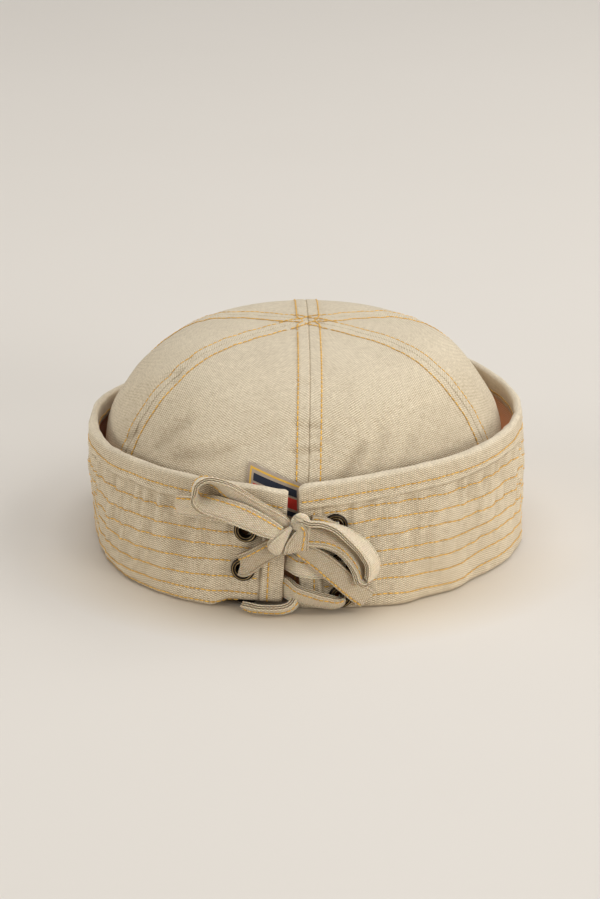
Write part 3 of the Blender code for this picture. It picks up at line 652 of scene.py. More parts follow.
def cuff_skin(u, d, lining=False):
    """A point of the cuff's cloth, u round and d down: wall, fold, then foot. lining is its inner side."""
    angle = cuff_angle(u, np.clip(d / FOLD_DEPTH, 0, 1))
    rim, _, _, _, lift = cuff_row(angle)
    wall = rim - lift - FOLD_RADIUS
    turn = np.clip((d - wall) / FOLD_RADIUS, 0, math.pi / 2)
    foot = np.maximum(d - wall - FOLD_RADIUS * math.pi / 2, 0)
    hem_inside = 0.8 + 0.35 * rumple(u / 6, u * 0 + 8, 35)
    shell = CUFF_THICK + hem_inside * step((10.4 - d) / 0.9) if lining else 0.0
    corner = 1.5 * np.clip(1 - np.minimum(u, ROUND - u) / 2.6, 0, 1) ** 2 * np.clip(1 - d / 8, 0, 1)
    z = np.where(d < wall, rim - d - corner, lift + FOLD_RADIUS - (FOLD_RADIUS - shell) * np.sin(turn))
    out = lean(angle, np.maximum(rim - d, lift)) - FOLD_RADIUS * (1 - np.cos(turn)) - foot
    out = out - shell * np.cos(turn)
    rounding = RIM_ROUND * (1 - np.sqrt(np.clip(1 - np.clip(1 - d / RIM_ROUND, 0, 1) ** 2, 0, 1)))
    if lining:
        out = out + rounding - 0.2 * rumple(u / 8, d / 9, 30) * np.cos(turn)
    else:
        out = out - rounding + cuff_relief(u, d) * np.cos(turn) * step(d / 1.5 + 0.25)
    return in_plan(angle, oval_radius(angle) + out, z)


# %% Mesh of the cuff
def cuff_grid():
    """Section points going down the outer side and back up the inner one, for columns round the cap."""
    edge = [0, 0.15, 0.4, 0.8, 1.3, 1.9, 2.6]
    back = np.concatenate([edge, np.arange(3.3, 12.0, 0.5), np.arange(12.7, 172.0, 1.0)])
    u = np.concatenate([back, np.linspace(173.5, ROUND - 173.5, 150), ROUND - back[::-1]])
    rim, _, _, _, lift = cuff_row(cuff_angle(u, 0.5))
    wall = rim - lift - FOLD_RADIUS
    parts = np.concatenate([1 - np.cos(np.linspace(0, 0.5 * math.pi, 5))[:-1], np.linspace(1, 42, 88)]) / 42
    folds = np.radians([12, 26, 40, 54, 68, 80, 90]) * FOLD_RADIUS
    feet = math.pi / 2 * FOLD_RADIUS + np.array([1.5, 4.0, 7.0, 9.5, 11.0, 11.5])
    down = np.concatenate([parts[:, None] * wall, wall + folds[:, None], wall + feet[:, None]])
    last = len(down) - 1
    coarse = np.concatenate([[2, 4, 8, 13, 16], np.arange(17, 23), np.arange(25, last + 1, 5), [last]])
    across, below = np.broadcast_to(u, down.shape), down[coarse][::-1]
    outer, inner = cuff_skin(across, down), cuff_skin(across, down, lining=True)
    middle = (outer + inner) / 2
    e = np.minimum(u, ROUND - u)
    swell = (0.3 + 0.7 * np.sqrt(np.clip(1 - np.clip(1 - e / 1.3, 0, 1) ** 2, 0, 1)))[None, :, None]
    outer, inner = middle + (outer - middle) * swell, middle + (inner - middle) * swell
    uv = pairs(u, np.concatenate([down, LINING_V - below, LINING_V + 0 * down[:1]]))
    under_hem = step((below - 9.8) / 1.4)
    # Painted light: the lining's inner hem is made paler, for light reaching into the cuff.
    shade = np.concatenate([cuff_shade(across, down), 1.4 * (1 - under_hem)])
    # Painted shade: below its inner hem the lining is marked for the trough's deep warm shade.
    hollow_shade = np.concatenate([0 * down, np.maximum(under_hem * (0.75 + 0.25 * step((below - 12) / 8)), 0.08)])
    return np.concatenate([outer, inner[coarse][::-1]]), uv, {"shade": shade, "hollow_shade": hollow_shade}


points, uv, marks = cuff_grid()
cuff_cloth = surface("cuff_cloth", points, uv, wrap=(True, False), capped=True, flat_angle=60.0, **marks)
on_cap(cuff_cloth, "canvas_cuff", "cuff")
print(f"cuff: {points.shape[0]} x {points.shape[1]} points, {2 * points.shape[0] * points.shape[1]} triangles")

# %% [markdown]
# ## The eyelets
#
# Each eyelet is a ring pressed from thin brass: two crests with a groove between them, and a barrel that
# goes through the cloth and is rolled over behind it. A turned shape is the simplest grid of all, a
# profile of radius and height times a full turn.
#
# The cloth needs real holes under them, so the bores stay dark. A Boolean cuts them, as a punch would.

# %% Where the eyelets stand
EYELETS = {  # x and z on the wall
    "eyelet_left_top": (-25.2, 35.1),
    "eyelet_left_middle": (-26.5, 17.7),
    "eyelet_right_top": (12.1, 38.6),
    "eyelet_right_middle": (15.1, 21.4),
    "eyelet_right_bottom": (14.6, 6.3),
}
FOLD_EYELET_X, FOLD_EYELET_IN = -26.6, 6.4
RING_PROUD, PUNCH_RADIUS = 0.25, 3.35


def on_wall(angle, z):
    """A point of the plain wall."""
    return in_plan(angle, oval_radius(angle) + lean(angle, z), z)


def wall_stand(x, z):
    """Place and outward direction of an eyelet in the wall."""
    angle, z = back_angle(x), np.float64(z)
    across = on_wall(angle + 0.5, z) - on_wall(angle - 0.5, z)
    upward = on_wall(angle, z + 1) - on_wall(angle, z - 1)
    return on_wall(angle, z), unit(np.cross(across, upward))


def fold_stand(x, inward):
    """Place and downward direction of an eyelet that has gone round the fold."""
    place = on_wall(back_angle(x), cuff_row(back_angle(x))[4])
    return place - unit(place * [1, 1, 0]) * inward, np.array([0.0, 0.0, -1.0])


stands = {name: wall_stand(*spot) for name, spot in EYELETS.items()}
stands["eyelet_left_bottom"] = fold_stand(FOLD_EYELET_X, FOLD_EYELET_IN)


def crest_shine(radius, height):
    """How bare the metal is, from 0 to 1: worn bright on the two crests and dark in the grooves."""
    outer = 0.8 * hump(radius - 4.25, 0.17) * (height > 0.7)
    inner = 0.65 * hump(radius - 3.20, 0.14) * (height > 0.5)
    return np.maximum(outer, inner)


def turned(name, profile, place, axis, steps=72):
    """A closed profile of (radius, height) turned once round an axis at a place."""
    side = unit(np.cross(axis, [0.0, 0.0, 1.0] if abs(axis[2]) < 0.9 else [1.0, 0.0, 0.0]))
    turn = np.linspace(0, 2 * math.pi, steps + 1)
    ring = np.cos(turn[:-1, None]) * side + np.sin(turn[:-1, None]) * np.cross(axis, side)
    radius, height = profile.T[:, :, None]
    points = place + radius[..., None] * ring + height[..., None] * axis
    uv = pairs(turn * 4, along(np.vstack([profile, profile[:1]]))[:, None])
    return surface(name, points, uv, wrap=(True, True), flat_angle=80.0, bright=crest_shine(radius, height))


EYELET_PROFILE = np.array([
    [5.15, 5.05, 4.75, 4.35, 3.95, 3.68, 3.45, 3.2, 2.95, 2.8, 2.78, 2.85, 3.2, 3.75, 3.9, 3.6, 3.22, 3.18,
     3.2, 4.2, 5],
    [0.15, 0.55, 0.98, 1.12, 0.92, 0.62, 0.7, 0.84, 0.66, 0.1, -1.4, -2.6, -3, -2.9, -2.55, -2.35, -2.2, -1,
     0.05, 0.12, 0.1],
]).T
eyelets = []
for name, (place, axis) in stands.items():
    ring = turned(f"{name}_ring", curve_through(EYELET_PROFILE, 3), place + RING_PROUD * axis, axis)
    eyelets.append(on_cap(ring, "antique_brass", name))
print(len(eyelets), "eyelets of", len(eyelets[0].data.polygons), "faces each")

# %% Punch the holes
cutters = []
for name, (place, axis) in stands.items():
    profile = np.array([(0.02, -7), (PUNCH_RADIUS + 0.02, -7), (PUNCH_RADIUS + 0.02, 5), (0.02, 5)])
    cutters.append(turned(f"punch_{name}", profile, place, axis, steps=40))
    cut = cuff_cloth.modifiers.new(name, "BOOLEAN")
    cut.object, cut.operation, cut.solver = cutters[-1], "DIFFERENCE", "EXACT"
punched = bpy.data.meshes.new_from_object(cuff_cloth.evaluated_get(bpy.context.evaluated_depsgraph_get()))
cuff_cloth.modifiers.clear()
cuff_cloth.data = punched
for cutter in cutters:
    bpy.data.objects.remove(cutter)
print(f"cuff after punching: {len(cuff_cloth.data.polygons)} faces")

# %% [markdown]
# ## The crown
#
# Six gores, each a tall triangle of canvas, are sewn edge to edge. The seams are pressed open and
# topstitched on both sides, so beside each seam the cloth is doubled for 5 mm, and the seam is a fine
# groove between two flat welts. A gore is a grid of its own: one parameter goes across it, from seam to
# seam, and the other climbs from the base to the top of the dome.

# %% Shape of the crown
TROUGH, CROWN_THICK, CROWN_GAP = 8.0, 1.4, 0.8
SEAM_START, GORES, GORE_WIDTH, TOPSTITCH = -89.0, 6, 94.0, 5.0
GORE_TURN = 360.0 / GORES
BASE_SHIFT, TOP_SHIFT = np.array([-1.4, 0.0]), np.array([1.0, -2.0])
CROWN_PROFILE = np.array([  # heights, and the dome's spread there as a share of its base
    [0, 20, 38, 48, 56, 64, 72, 79, 85, 90, 93.4, 95.4, 96.5, 97],
    [0.975, 1.005, 1.02, 1.012, 0.984, 0.936, 0.87, 0.79, 0.7, 0.598, 0.47, 0.32, 0.155, 0],
])
CROWN_TOP = CROWN_PROFILE[0, -1]
DENT_ANGLE, DENT_SPAN, DENT_DEPTH, DENT_HEIGHT = -106.0, 13.0, 4.2, 30.0
# From angle 1 and climb 1 to angle 2 and climb 2.
CREASES = tables("""
creases: angle_1 climb_1 angle_2 climb_2 half_width depth
-79.5 54 -73.5 66 3 0.75
-84 62 -82 77 2.6 0.3
-70 58 -66 70 3.5 0.45
-62 55 -57 66 3 0.3
-128 57 -113 63 4 0.75
-108 66 -101 73 4 0.38
-136 60 -130 72 4 0.5
-147 87 -149 92 2.6 0.6
-150 97 -152.5 99 2.4 0.7
-154 86 -151 90 2.6 0.5
-151 55 -148 60 2.4 0.55
-93.5 97 -88 98.5 2 0.35
-93.5 77 -86.5 76 1.7 0.75
-93 70.5 -87 72 1.5 0.4
-93.5 65 -86.5 66 1.8 0.85
""")["creases"]


def dome_base(angle):
    """Height of the crown's base, a little above the cuff's foot."""
    return cuff_row(angle)[4] + CUFF_THICK + CROWN_GAP


def near_zero(angle):
    """The same angle between -180 and 180."""
    return (angle + 180.0) % 360.0 - 180.0


def leaning(points):
    """Points of an upright dome, moved as it leans: by BASE_SHIFT at its base, and TOP_SHIFT at its top."""
    share = np.clip(points[..., 2:] / CROWN_TOP, 0, 1) ** 2
    points[..., :2] += BASE_SHIFT + (TOP_SHIFT - BASE_SHIFT) * share
    return points


def dome(angle, rise):
    """A point of the plain dome at a plan angle, for rise from 0 at its base to 1 at its top."""
    z = dome_base(angle) + (CROWN_TOP - dome_base(angle)) * rise
    dent = np.clip(1 - (near_zero(angle - DENT_ANGLE) / DENT_SPAN) ** 2, 0, 1) ** 2
    dent = dent * np.clip(1 - z / DENT_HEIGHT, 0, 1)
    radius = oval_radius(angle, TROUGH) * eased(z, *CROWN_PROFILE) - DENT_DEPTH * dent
    return leaning(in_plan(angle, radius, z)), radius


def dome_normal(angle, rise):
    """Outward direction of the dome, from its slopes both ways."""
    rise = np.clip(rise, 0.002, 0.990)
    across = dome(angle + 0.4, rise)[0] - dome(angle - 0.4, rise)[0]
    upward = dome(angle, rise + 0.002)[0] - dome(angle, rise - 0.002)[0]
    return unit(np.cross(across, upward))


def climb(rise):
    """Rough distance up the dome's side at a rise, for the cloth's coordinates."""
    rises = np.linspace(0, 1, 400)
    return np.interp(rise, rises, along(dome(np.full(400, -60.0), rises)[0]))


def crease_depth(angle, v):
    """Depth of the creases at a place: each is depth * e^(-(distance to its line / half width)^2)."""
    total, a = 0.0 * v, near_zero(angle) * 1.6
    for a1, v1, a2, v2, width, depth in CREASES:
        run_a, run_v = (a2 - a1) * 1.6, v2 - v1
        share = np.clip(((a - a1 * 1.6) * run_a + (v - v1) * run_v) / (run_a**2 + run_v**2), 0, 1)
        total = total + depth * hump(np.hypot(a - a1 * 1.6 - share * run_a, v - v1 - share * run_v), width)
    return total


def crown_relief(gore, angle, rise, *edges):
    """Relief of a gore: welts, stitch grooves, the rolled seam edge, puckers and soft dents. edges are the
    distances from its two seams."""
    v = climb(rise)
    relief = 0.0 * edges[0]
    for side, e in enumerate(edges):
        seam = (gore + side) % GORES
        relief += 0.30 * step(TOPSTITCH + 0.6 - e) - 0.16 * hump(e - TOPSTITCH, 0.60) - 0.40 * hump(e, 0.32)
        relief += 0.13 * rumple(v / 3.0 + seam * 31, e / 6, 41) * np.exp(-np.abs(e - TOPSTITCH) / 2.4)
        relief += 0.26 * rumple(v / 3.9 + seam * 13, e / 16, 44) * hump(e, 8)
    x, y, flat = np.cos(np.radians(angle)), np.sin(np.radians(angle)), step((0.985 - rise) / 0.2)
    relief += 0.9 * flat * rumple(x * 1.7 + 9, y * 1.7 + v / 38, 42)
    relief += 0.35 * flat * rumple(x * 4 + 9, y * 4 + v / 15, 43)
    return relief - 1.6 * crease_depth(angle, v)


def crown_shade(angle, z, v, e):
    """Painted light and shade on a gore: painted shade in the seam groove, along the topstitching and in the
    creases; painted light in the middle of the back and toward the top; painted shade low on the right and
    the left of the back; and a painted shadow on the cloth seen through the eyelets.
    """
    away = near_zero(angle)
    shade = -0.5 * hump(e, 0.30) - 0.12 * hump(e - TOPSTITCH, 0.45) - 0.55 * crease_depth(angle, v)
    # Painted light in the middle of the back and toward the top, painted shade low on its two sides.
    shade += 0.40 * hump(away + 101, 18) * hump(z - 68, 18) + 0.45 * step((z - 74) / 16)
    shade -= 0.22 * hump(away + 45, 14) * hump(z - 62, 14) + 0.20 * hump(away + 142, 14) * hump(z - 58, 12)
    # Painted shadow: the crown low down behind the eyelets, seen through their bores, is made dark.
    behind = np.maximum(hump(away + 109, 6), hump(away + 81, 6))
    return shade - 1.2 * behind * step((46 - z) / 4)


def gore_width(angle, rise):
    """Width of a gore at a rise: its share of a full turn times the radius."""
    return math.radians(GORE_TURN) * np.maximum(dome(angle, rise)[1], 0.02)


def gore_point(gore, share, rise):
    """A point of a gore's outer face: share goes from 0 at its first seam to 1 at its second."""
    angle = SEAM_START + GORE_TURN * (gore + share)
    width = gore_width(angle, rise)
    lift = crown_relief(gore, angle, rise, share * width, (1 - share) * width)
    return dome(angle, rise)[0] + dome_normal(angle, rise) * lift[..., None], width


# %% Meshes of the gores
def gore_grid(gore):
    """Section points across the outer face and back along the lining, for rows up the gore."""
    near_seam = [[0, 0.22, 0.45, 0.75, 1.2, 1.8, 2.5, 3.2], np.arange(3.8, 6.6, 0.35), np.arange(7.0, 14, 0.9)]
    half = np.concatenate([*near_seam, np.arange(15.0, 46, 1.8)]) / GORE_WIDTH
    share = np.concatenate([half, 1 - half[::-1]])
    rise = np.interp(np.linspace(0, climb(1.0), 118), climb(np.linspace(0, 1, 400)), np.linspace(0, 1, 400))
    share_grid, rise_grid = np.meshgrid(share, rise, indexing="ij")
    outer, width = gore_point(gore, share_grid, rise_grid)
    angle, v = SEAM_START + GORE_TURN * (gore + share_grid), np.broadcast_to(climb(rise), width.shape)
    coarse = np.linspace(0, len(share) - 1, 15).round().astype(int)
    thick = np.where((coarse == 0) | (coarse == coarse[-1]), 0.5, CROWN_THICK * 0.8)[:, None, None]
    inner = outer[coarse] - dome_normal(angle[coarse], rise_grid[coarse]) * thick
    u = (share_grid - 0.5) * width
    uv = [np.concatenate([grid, grid[coarse][::-1], grid[:1]]) for grid in (u + gore * 137, v)]
    x, z = np.abs(outer[..., 0]), outer[..., 2]
    shade = crown_shade(angle, z, v, np.minimum(share_grid, 1 - share_grid) * width)
    # Painted shade: low on the crown, in the trough, and on its whole lining, the cloth is marked for the deep
    # warm shade.
    hollow_shade = step((54 - z) / 17) * (0.6 + 0.4 * step((x - 40) / 20))
    lining = np.zeros((len(coarse), len(rise)))
    marks = {"shade": np.concatenate([shade, lining]), "hollow_shade": np.concatenate([hollow_shade, lining + 0.6])}
    return np.concatenate([outer, inner[::-1]]), np.stack(uv, axis=-1), marks


gores = []
for gore in range(GORES):
    points, uv, marks = gore_grid(gore)
    name = f"crown_gore_{gore + 1}"
    panel = surface(name, points, uv, wrap=(True, False), capped=True, flat_angle=75.0, **marks)
    gores.append(on_cap(panel, "canvas", f"crown_panel_{gore + 1}"))
print(f"{GORES} gores of {points.shape[0]} x {points.shape[1]} points")

# %% [markdown]
# ## The stitching
#
# A row of machine stitching is a chain of short thread bridges, each rising out of the cloth at one needle
# hole and diving into the next. One stitch is a small tube bent over the surface, with only a few dozen
# faces, because there are thousands. All the stitches of a piece are worked out in one array: a dense
# line on the surface is measured along its length, and every stitch takes its own stretch of it.

# %% Stitches along lines
RINGS, SIDES, CLEARANCE = 7, 6, 5.4


def stitch_tubes(line, outward, pitch=2.5, half_width=0.29):
    """Tubes over a line: each rises as 1 - (2t)^4 along its stitch, and dips into the cloth at both ends."""
    distance, start, gap = along(line), 0.4, 0.02
    count = int((distance[-1] - 2 * start) / pitch)
    t = np.linspace(-0.5, 0.5, RINGS)
    place = start + (np.arange(count)[:, None] + 0.5 + t * (1 - gap / pitch)) * pitch
    both = np.hstack([line, outward]).T
    at, up = np.split(np.stack([np.interp(place, distance, values) for values in both], axis=-1), 2, axis=-1)
    up = unit(up)
    side = unit(np.cross(up, unit(np.gradient(at, axis=1))))
    at = at + up * (0.20 * (1 - (2 * t) ** 4) - 0.10 * (2 * t) ** 6)[:, None]
    size = np.sqrt(np.clip(1 - (2 * t) ** 8, 0.05, 1)) * half_width
    turn = np.arange(SIDES)[:, None] * 2 * math.pi / SIDES
    ring = side[:, :, None] * np.cos(turn) + up[:, :, None] * np.sin(turn) * 0.75
    return at[:, :, None] + ring * size[:, None, None]


def stitch_object(name, lines, clear_of=(), **settings):
    """One mesh with the stitches of many lines, each closed at both ends, with a random tone per stitch. No
    stitch is set within CLEARANCE of the places in clear_of."""
    tubes = np.concatenate([stitch_tubes(line, outward, **settings) for line, outward in lines])
    for place in clear_of:
        tubes = tubes[np.linalg.norm(tubes[:, RINGS // 2].mean(axis=1) - place, axis=-1) > CLEARANCE]
    i, j = np.divmod(np.arange((RINGS - 1) * SIDES)[:, None], SIDES)
    quads = (i + [0, 0, 1, 1]) * SIDES + (j + [0, 1, 1, 0]) % SIDES
    ends = np.array([[0, 5, 4, 3], [0, 3, 2, 1]])
    faces = np.concatenate([quads, ends, (RINGS - 1) * SIDES + np.array([[0, 1, 2, 3], [0, 3, 4, 5]])])
    if volume_sign(tubes[0].reshape(-1, 3), faces) < 0:
        faces = faces[:, ::-1]
    faces = (faces + (np.arange(len(tubes)) * RINGS * SIDES)[:, None, None]).reshape(-1, 4)
    mesh = bpy.data.meshes.new(name)
    mesh.from_pydata(tubes.reshape(-1, 3) * mm, [], faces)
    # Painted shade: each stitch darkens toward both ends, where it dives into its needle hole.
    fade = 1 - 0.85 * np.abs(np.linspace(-1, 1, RINGS))[:, None] ** 4
    tone = np.random.default_rng(5).uniform(0.6, 1, (len(tubes), 1, 1)) * fade * np.ones(SIDES)
    print(f"{name}: {len(tubes)} stitches, {2 * len(faces)} triangles")
    return placed(name, mesh, tone=tone)


def surface_line(u, d, lining=False):
    """Points along a line on the cuff, and the directions away from its cloth."""
    across = cuff_skin(u + 0.3, d, lining) - cuff_skin(u - 0.3, d, lining)
    down = cuff_skin(u, d + 0.3, lining) - cuff_skin(u, d - 0.3, lining)
    points, away = cuff_skin(u, d, lining), unit(np.cross(down, across))
    return points, away * np.sign((points * away)[:, :2].sum()) * (-1 if lining else 1)


# %% Rows on the cuff
cuff_lines = []
for number in range(ROWS):
    inset = 0.8 if number == 0 else SIDE_HEM + 0.6
    u = np.linspace(inset, ROUND - inset, 1500)
    cuff_lines.append(surface_line(u, row_line(u, number)))
d = np.linspace(HEM_DEPTH + 1.5, FOLD_DEPTH, 160)
cuff_lines += [surface_line(0 * d + edge, d) for edge in (SIDE_ROW, ROUND - SIDE_ROW)]
u = np.linspace(0.8, ROUND - 0.8, 1500)
cuff_lines.append(surface_line(u, row_line(u, 0), lining=True))
rings = [place for place, _ in stands.values()]
cuff_stitches = on_cap(stitch_object("cuff_stitching", cuff_lines, clear_of=rings), "canvas_cuff")

# %% Rows on the crown
def gore_line(gore, second, stop=11.0):
    """A topstitch line beside the first or second seam of a gore, as far up as the gore is wider than stop."""
    rise = np.linspace(0.02, 0.999, 900)
    width = gore_width(SEAM_START + GORE_TURN * (gore + 0.5) + 0 * rise, rise)
    rise, share = rise[width > stop], np.clip(TOPSTITCH / width, 0, 0.5)[width > stop]
    share = 1 - share if second else share
    return gore_point(gore, share, rise)[0], dome_normal(SEAM_START + GORE_TURN * (gore + share), rise)


def dome_over(x, y):
    """A point of the dome over plan coordinates measured from its top."""
    angle, heights = np.degrees(np.arctan2(y, x)), np.linspace(80, 97, 400)
    spread = np.hypot(x, y) / oval_radius(angle, TROUGH)
    z = np.interp(spread, eased(heights, *CROWN_PROFILE)[::-1], heights[::-1])
    return leaning(np.stack([x, y, z], axis=-1))


def top_line(axis, offset, bend):
    """A topstitch line over the dome's top, beside a seam, drawn in and a little crooked in the middle. It
    lies on the welts, which are two deep within 9 mm of the top."""
    s, turn = np.linspace(-12.4, 13.5, 80), math.radians(axis)
    sideways = offset * (1 - 0.35 * hump(s, 4)) + bend * hump(s - 2, 3)
    x, y = s * math.cos(turn) - sideways * math.sin(turn), s * math.sin(turn) + sideways * math.cos(turn)
    across, upward = (dome_over(x + a, y + b) - dome_over(x - a, y - b) for a, b in ((0.5, 0), (0, 0.5)))
    outward = unit(np.cross(across, upward))
    height = 0.24 + 0.36 * step((9.8 - np.abs(s)) / 1.5)
    return dome_over(x, y) + outward * height[:, None], outward


crown_lines = [gore_line(gore, second) for gore in range(GORES) for second in (False, True)]
for seam, bends in enumerate([(0.9, -0.6), (-1.1, 0.7), (0.5, 1.0)]):
    crown_lines += [top_line(SEAM_START + GORE_TURN * seam, (k * 2 - 1) * TOPSTITCH, bends[k]) for k in (0, 1)]
crown_stitches = on_cap(stitch_object("crown_topstitching", crown_lines), "canvas")

# %% Rows on the lace
def tape_line(route, first, last, offset, face, samples=10):
    """A stitch line on one face of a tape, from one row of its route to another."""
    section = np.array([[offset, face * (1 - 0.12 * offset**4)]])
    points, _, thin = tape_points(route, section, samples)
    part = slice(first * samples, last * samples + 1)
    return points[0][part], thin[part] * face


LACE_ROWS = [  # route, from row, to row, share of the half width
    ("left", 0, 14, 0.58),
    ("left", 16, 21, -0.74),
    ("right", 9, 15, 0.55),
    ("right", 17, 21, 0.78),
    ("lace_lead_left", 3, 8, 0.58),
    ("lace_lead_right", 0, 3, 0.58),
    ("lace_upper_cross", 0, 7, 0.58),
    ("lace_lower_cross", 0, 9, 0.50),
    ("lace_bottom_run", 0, 7, 0.10),
]
lace_lines = [tape_line(ROUTES[name], *row, face) for name, *row in LACE_ROWS for face in (1, -1)]
lace_lines.append(tape_line(KNOT["band"], 2, 6, 0.42, 1, samples=8))
lace_stitches = on_cap(stitch_object("lace_stitching", lace_lines, pitch=2.4, half_width=0.32), "lace_canvas")

# %% [markdown]
# ## The label
#
# A small woven label is sewn to the crown behind the opening, a little askew. It is a thin sheet laid on
# the dome, and its pattern, a border and plain bands, is woven in by the material, with no lettering.

# %% Label
LABEL_SIZE, LABEL_MIDDLE = (25.0, 23.0), (-12.0, 46.2)
LABEL_ACROSS, LABEL_UP = (0.948, -0.318), (-0.040, 0.999)


def label_grid(height):
    """Points of the label, height over the crown, and its UV map."""
    across, up = np.meshgrid(np.linspace(-0.5, 0.5, 34), np.linspace(-0.5, 0.5, 30), indexing="ij")
    a, b = across * LABEL_SIZE[0], up * LABEL_SIZE[1]
    x, z = (LABEL_MIDDLE[k] + a * LABEL_ACROSS[k] + b * LABEL_UP[k] for k in (0, 1))
    angle = back_angle(x * HALF_WIDTH / (HALF_WIDTH - TROUGH))
    rise = (z - dome_base(angle)) / (CROWN_TOP - dome_base(angle))
    share = (angle - SEAM_START) / GORE_TURN % 1
    e = np.minimum(share, 1 - share) * GORE_WIDTH
    lift = crown_relief(0, angle, rise, e + 3, 0 * e + 40)
    edge = np.minimum(0.5 - np.abs(across), 0.5 - np.abs(up)) * sum(LABEL_SIZE) / 2
    height = height + 0.25 * step(edge / 1.5) + 0.1 * rumple(a / 3, b / 3, 61)
    return dome(angle, rise)[0] + dome_normal(angle, rise) * (lift + height)[..., None], pairs(a, b)


top_face, label_uv = label_grid(1.05)
label_points = np.concatenate([top_face, label_grid(0.45)[0][::-1]])
label_uvs = np.concatenate([label_uv, label_uv[::-1], label_uv[:1]])
label = surface("back_label_weave", label_points, label_uvs, wrap=(True, False), capped=True)
on_cap(label, "label_weave", "back_label")
print("label", LABEL_SIZE, "mm")

# %% [markdown]
# ## Materials
#
# A material here is a small sum worked out for every point of a surface. Blender draws such sums as Math
# nodes; written as Python expressions they can be read like any formula. The class below holds one
# output socket, and each operator on it adds one node.

# %% Node arithmetic
def operation(kind, swapped=False):
    """A method that adds one Math node, fed with the flow itself and with the method's other values."""

    def method(self, *others):
        values = (*others, self) if swapped else (self, *others)
        return self.paint.node("ShaderNodeMath", {"operation": kind}, dict(enumerate(values)))

    return method


class Flow:
    """A number that flows through a material. Its operators add Math nodes."""

    def __init__(self, paint, socket):
        self.paint, self.socket = paint, socket

    __add__ = __radd__ = operation("ADD")
    __mul__ = __rmul__ = operation("MULTIPLY")
    __sub__, __rsub__ = operation("SUBTRACT"), operation("SUBTRACT", swapped=True)
    __truediv__, __gt__, __lt__ = operation("DIVIDE"), operation("GREATER_THAN"), operation("LESS_THAN")
    sin, root, size = operation("SINE"), operation("SQRT"), operation("ABSOLUTE")
    top, low = operation("MAXIMUM"), operation("MINIMUM")

    def clipped(self):
        return self.top(0.0).low(1.0)


class Paint:
    """A material being made: one Principled shader and the nodes that feed it."""

    def __init__(self, name, constants):
        self.material = bpy.data.materials.new(name)
        self.material.use_nodes = True
        self.tree = self.material.node_tree
        self.shader = self.tree.nodes["Principled BSDF"]
        for socket, value in constants.items():
            self.shader.inputs[socket].default_value = value

    def node(self, kind, settings=None, sockets=None, output=0):
        """Adds any node: its settings first, then the values or links of its sockets."""
        made = self.tree.nodes.new(kind)
        for key, value in (settings or {}).items():
            setattr(made, key, value)
        for key, value in (sockets or {}).items():
            if isinstance(value, Flow):
                self.tree.links.new(value.socket, made.inputs[key])
            else:
                made.inputs[key].default_value = value
        return Flow(self, made.outputs[output])

    def mix(self, factor, a, b):
        """A colour between a and b."""
        a, b = ((*c, 1.0) if isinstance(c, tuple) else c for c in (a, b))
        return self.node("ShaderNodeMix", {"data_type": "RGBA"}, {0: factor, 6: a, 7: b}, 2)

    def noise(self, place, scale, detail=2.0, output="Fac"):
        """Noise from about 0 to 1 at a place."""
        sockets = {"Vector": place, "Scale": scale, "Detail": detail, "Roughness": 0.6}
        return self.node("ShaderNodeTexNoise", None, sockets, output)

    def split(self, vector):
        """The three numbers of a vector."""
        parts = self.node("ShaderNodeSeparateXYZ", None, {0: vector}).socket.node
        return [Flow(self, parts.outputs[k]) for k in range(3)]

    def join(self, x, y, z):
        """A vector of three numbers."""
        return self.node("ShaderNodeCombineXYZ", None, {0: x, 1: y, 2: z})

    def uv(self):
        return self.node("ShaderNodeUVMap", {"uv_map": "cloth"})

    def place(self):
        return self.node("ShaderNodeTexCoord", output="Object")

    def mark(self, name):
        return self.node("ShaderNodeAttribute", {"attribute_name": name}, output="Fac")

    def bump(self, height, distance, strength=1.0):
        return self.node("ShaderNodeBump", None, {"Height": height, "Distance": distance, "Strength": strength})

    def feed(self, sockets, pieces):
        """Links flows to the shader's own sockets, and gives the finish to its pieces."""
        for name, flow in sockets.items():
            self.tree.links.new(flow.socket, self.shader.inputs[name])
        for piece in pieces:
            piece.data.materials.clear()
            piece.data.materials.append(self.material)
        print(f"{self.material.name} on {len(pieces)} pieces, from {len(self.tree.nodes)} nodes")
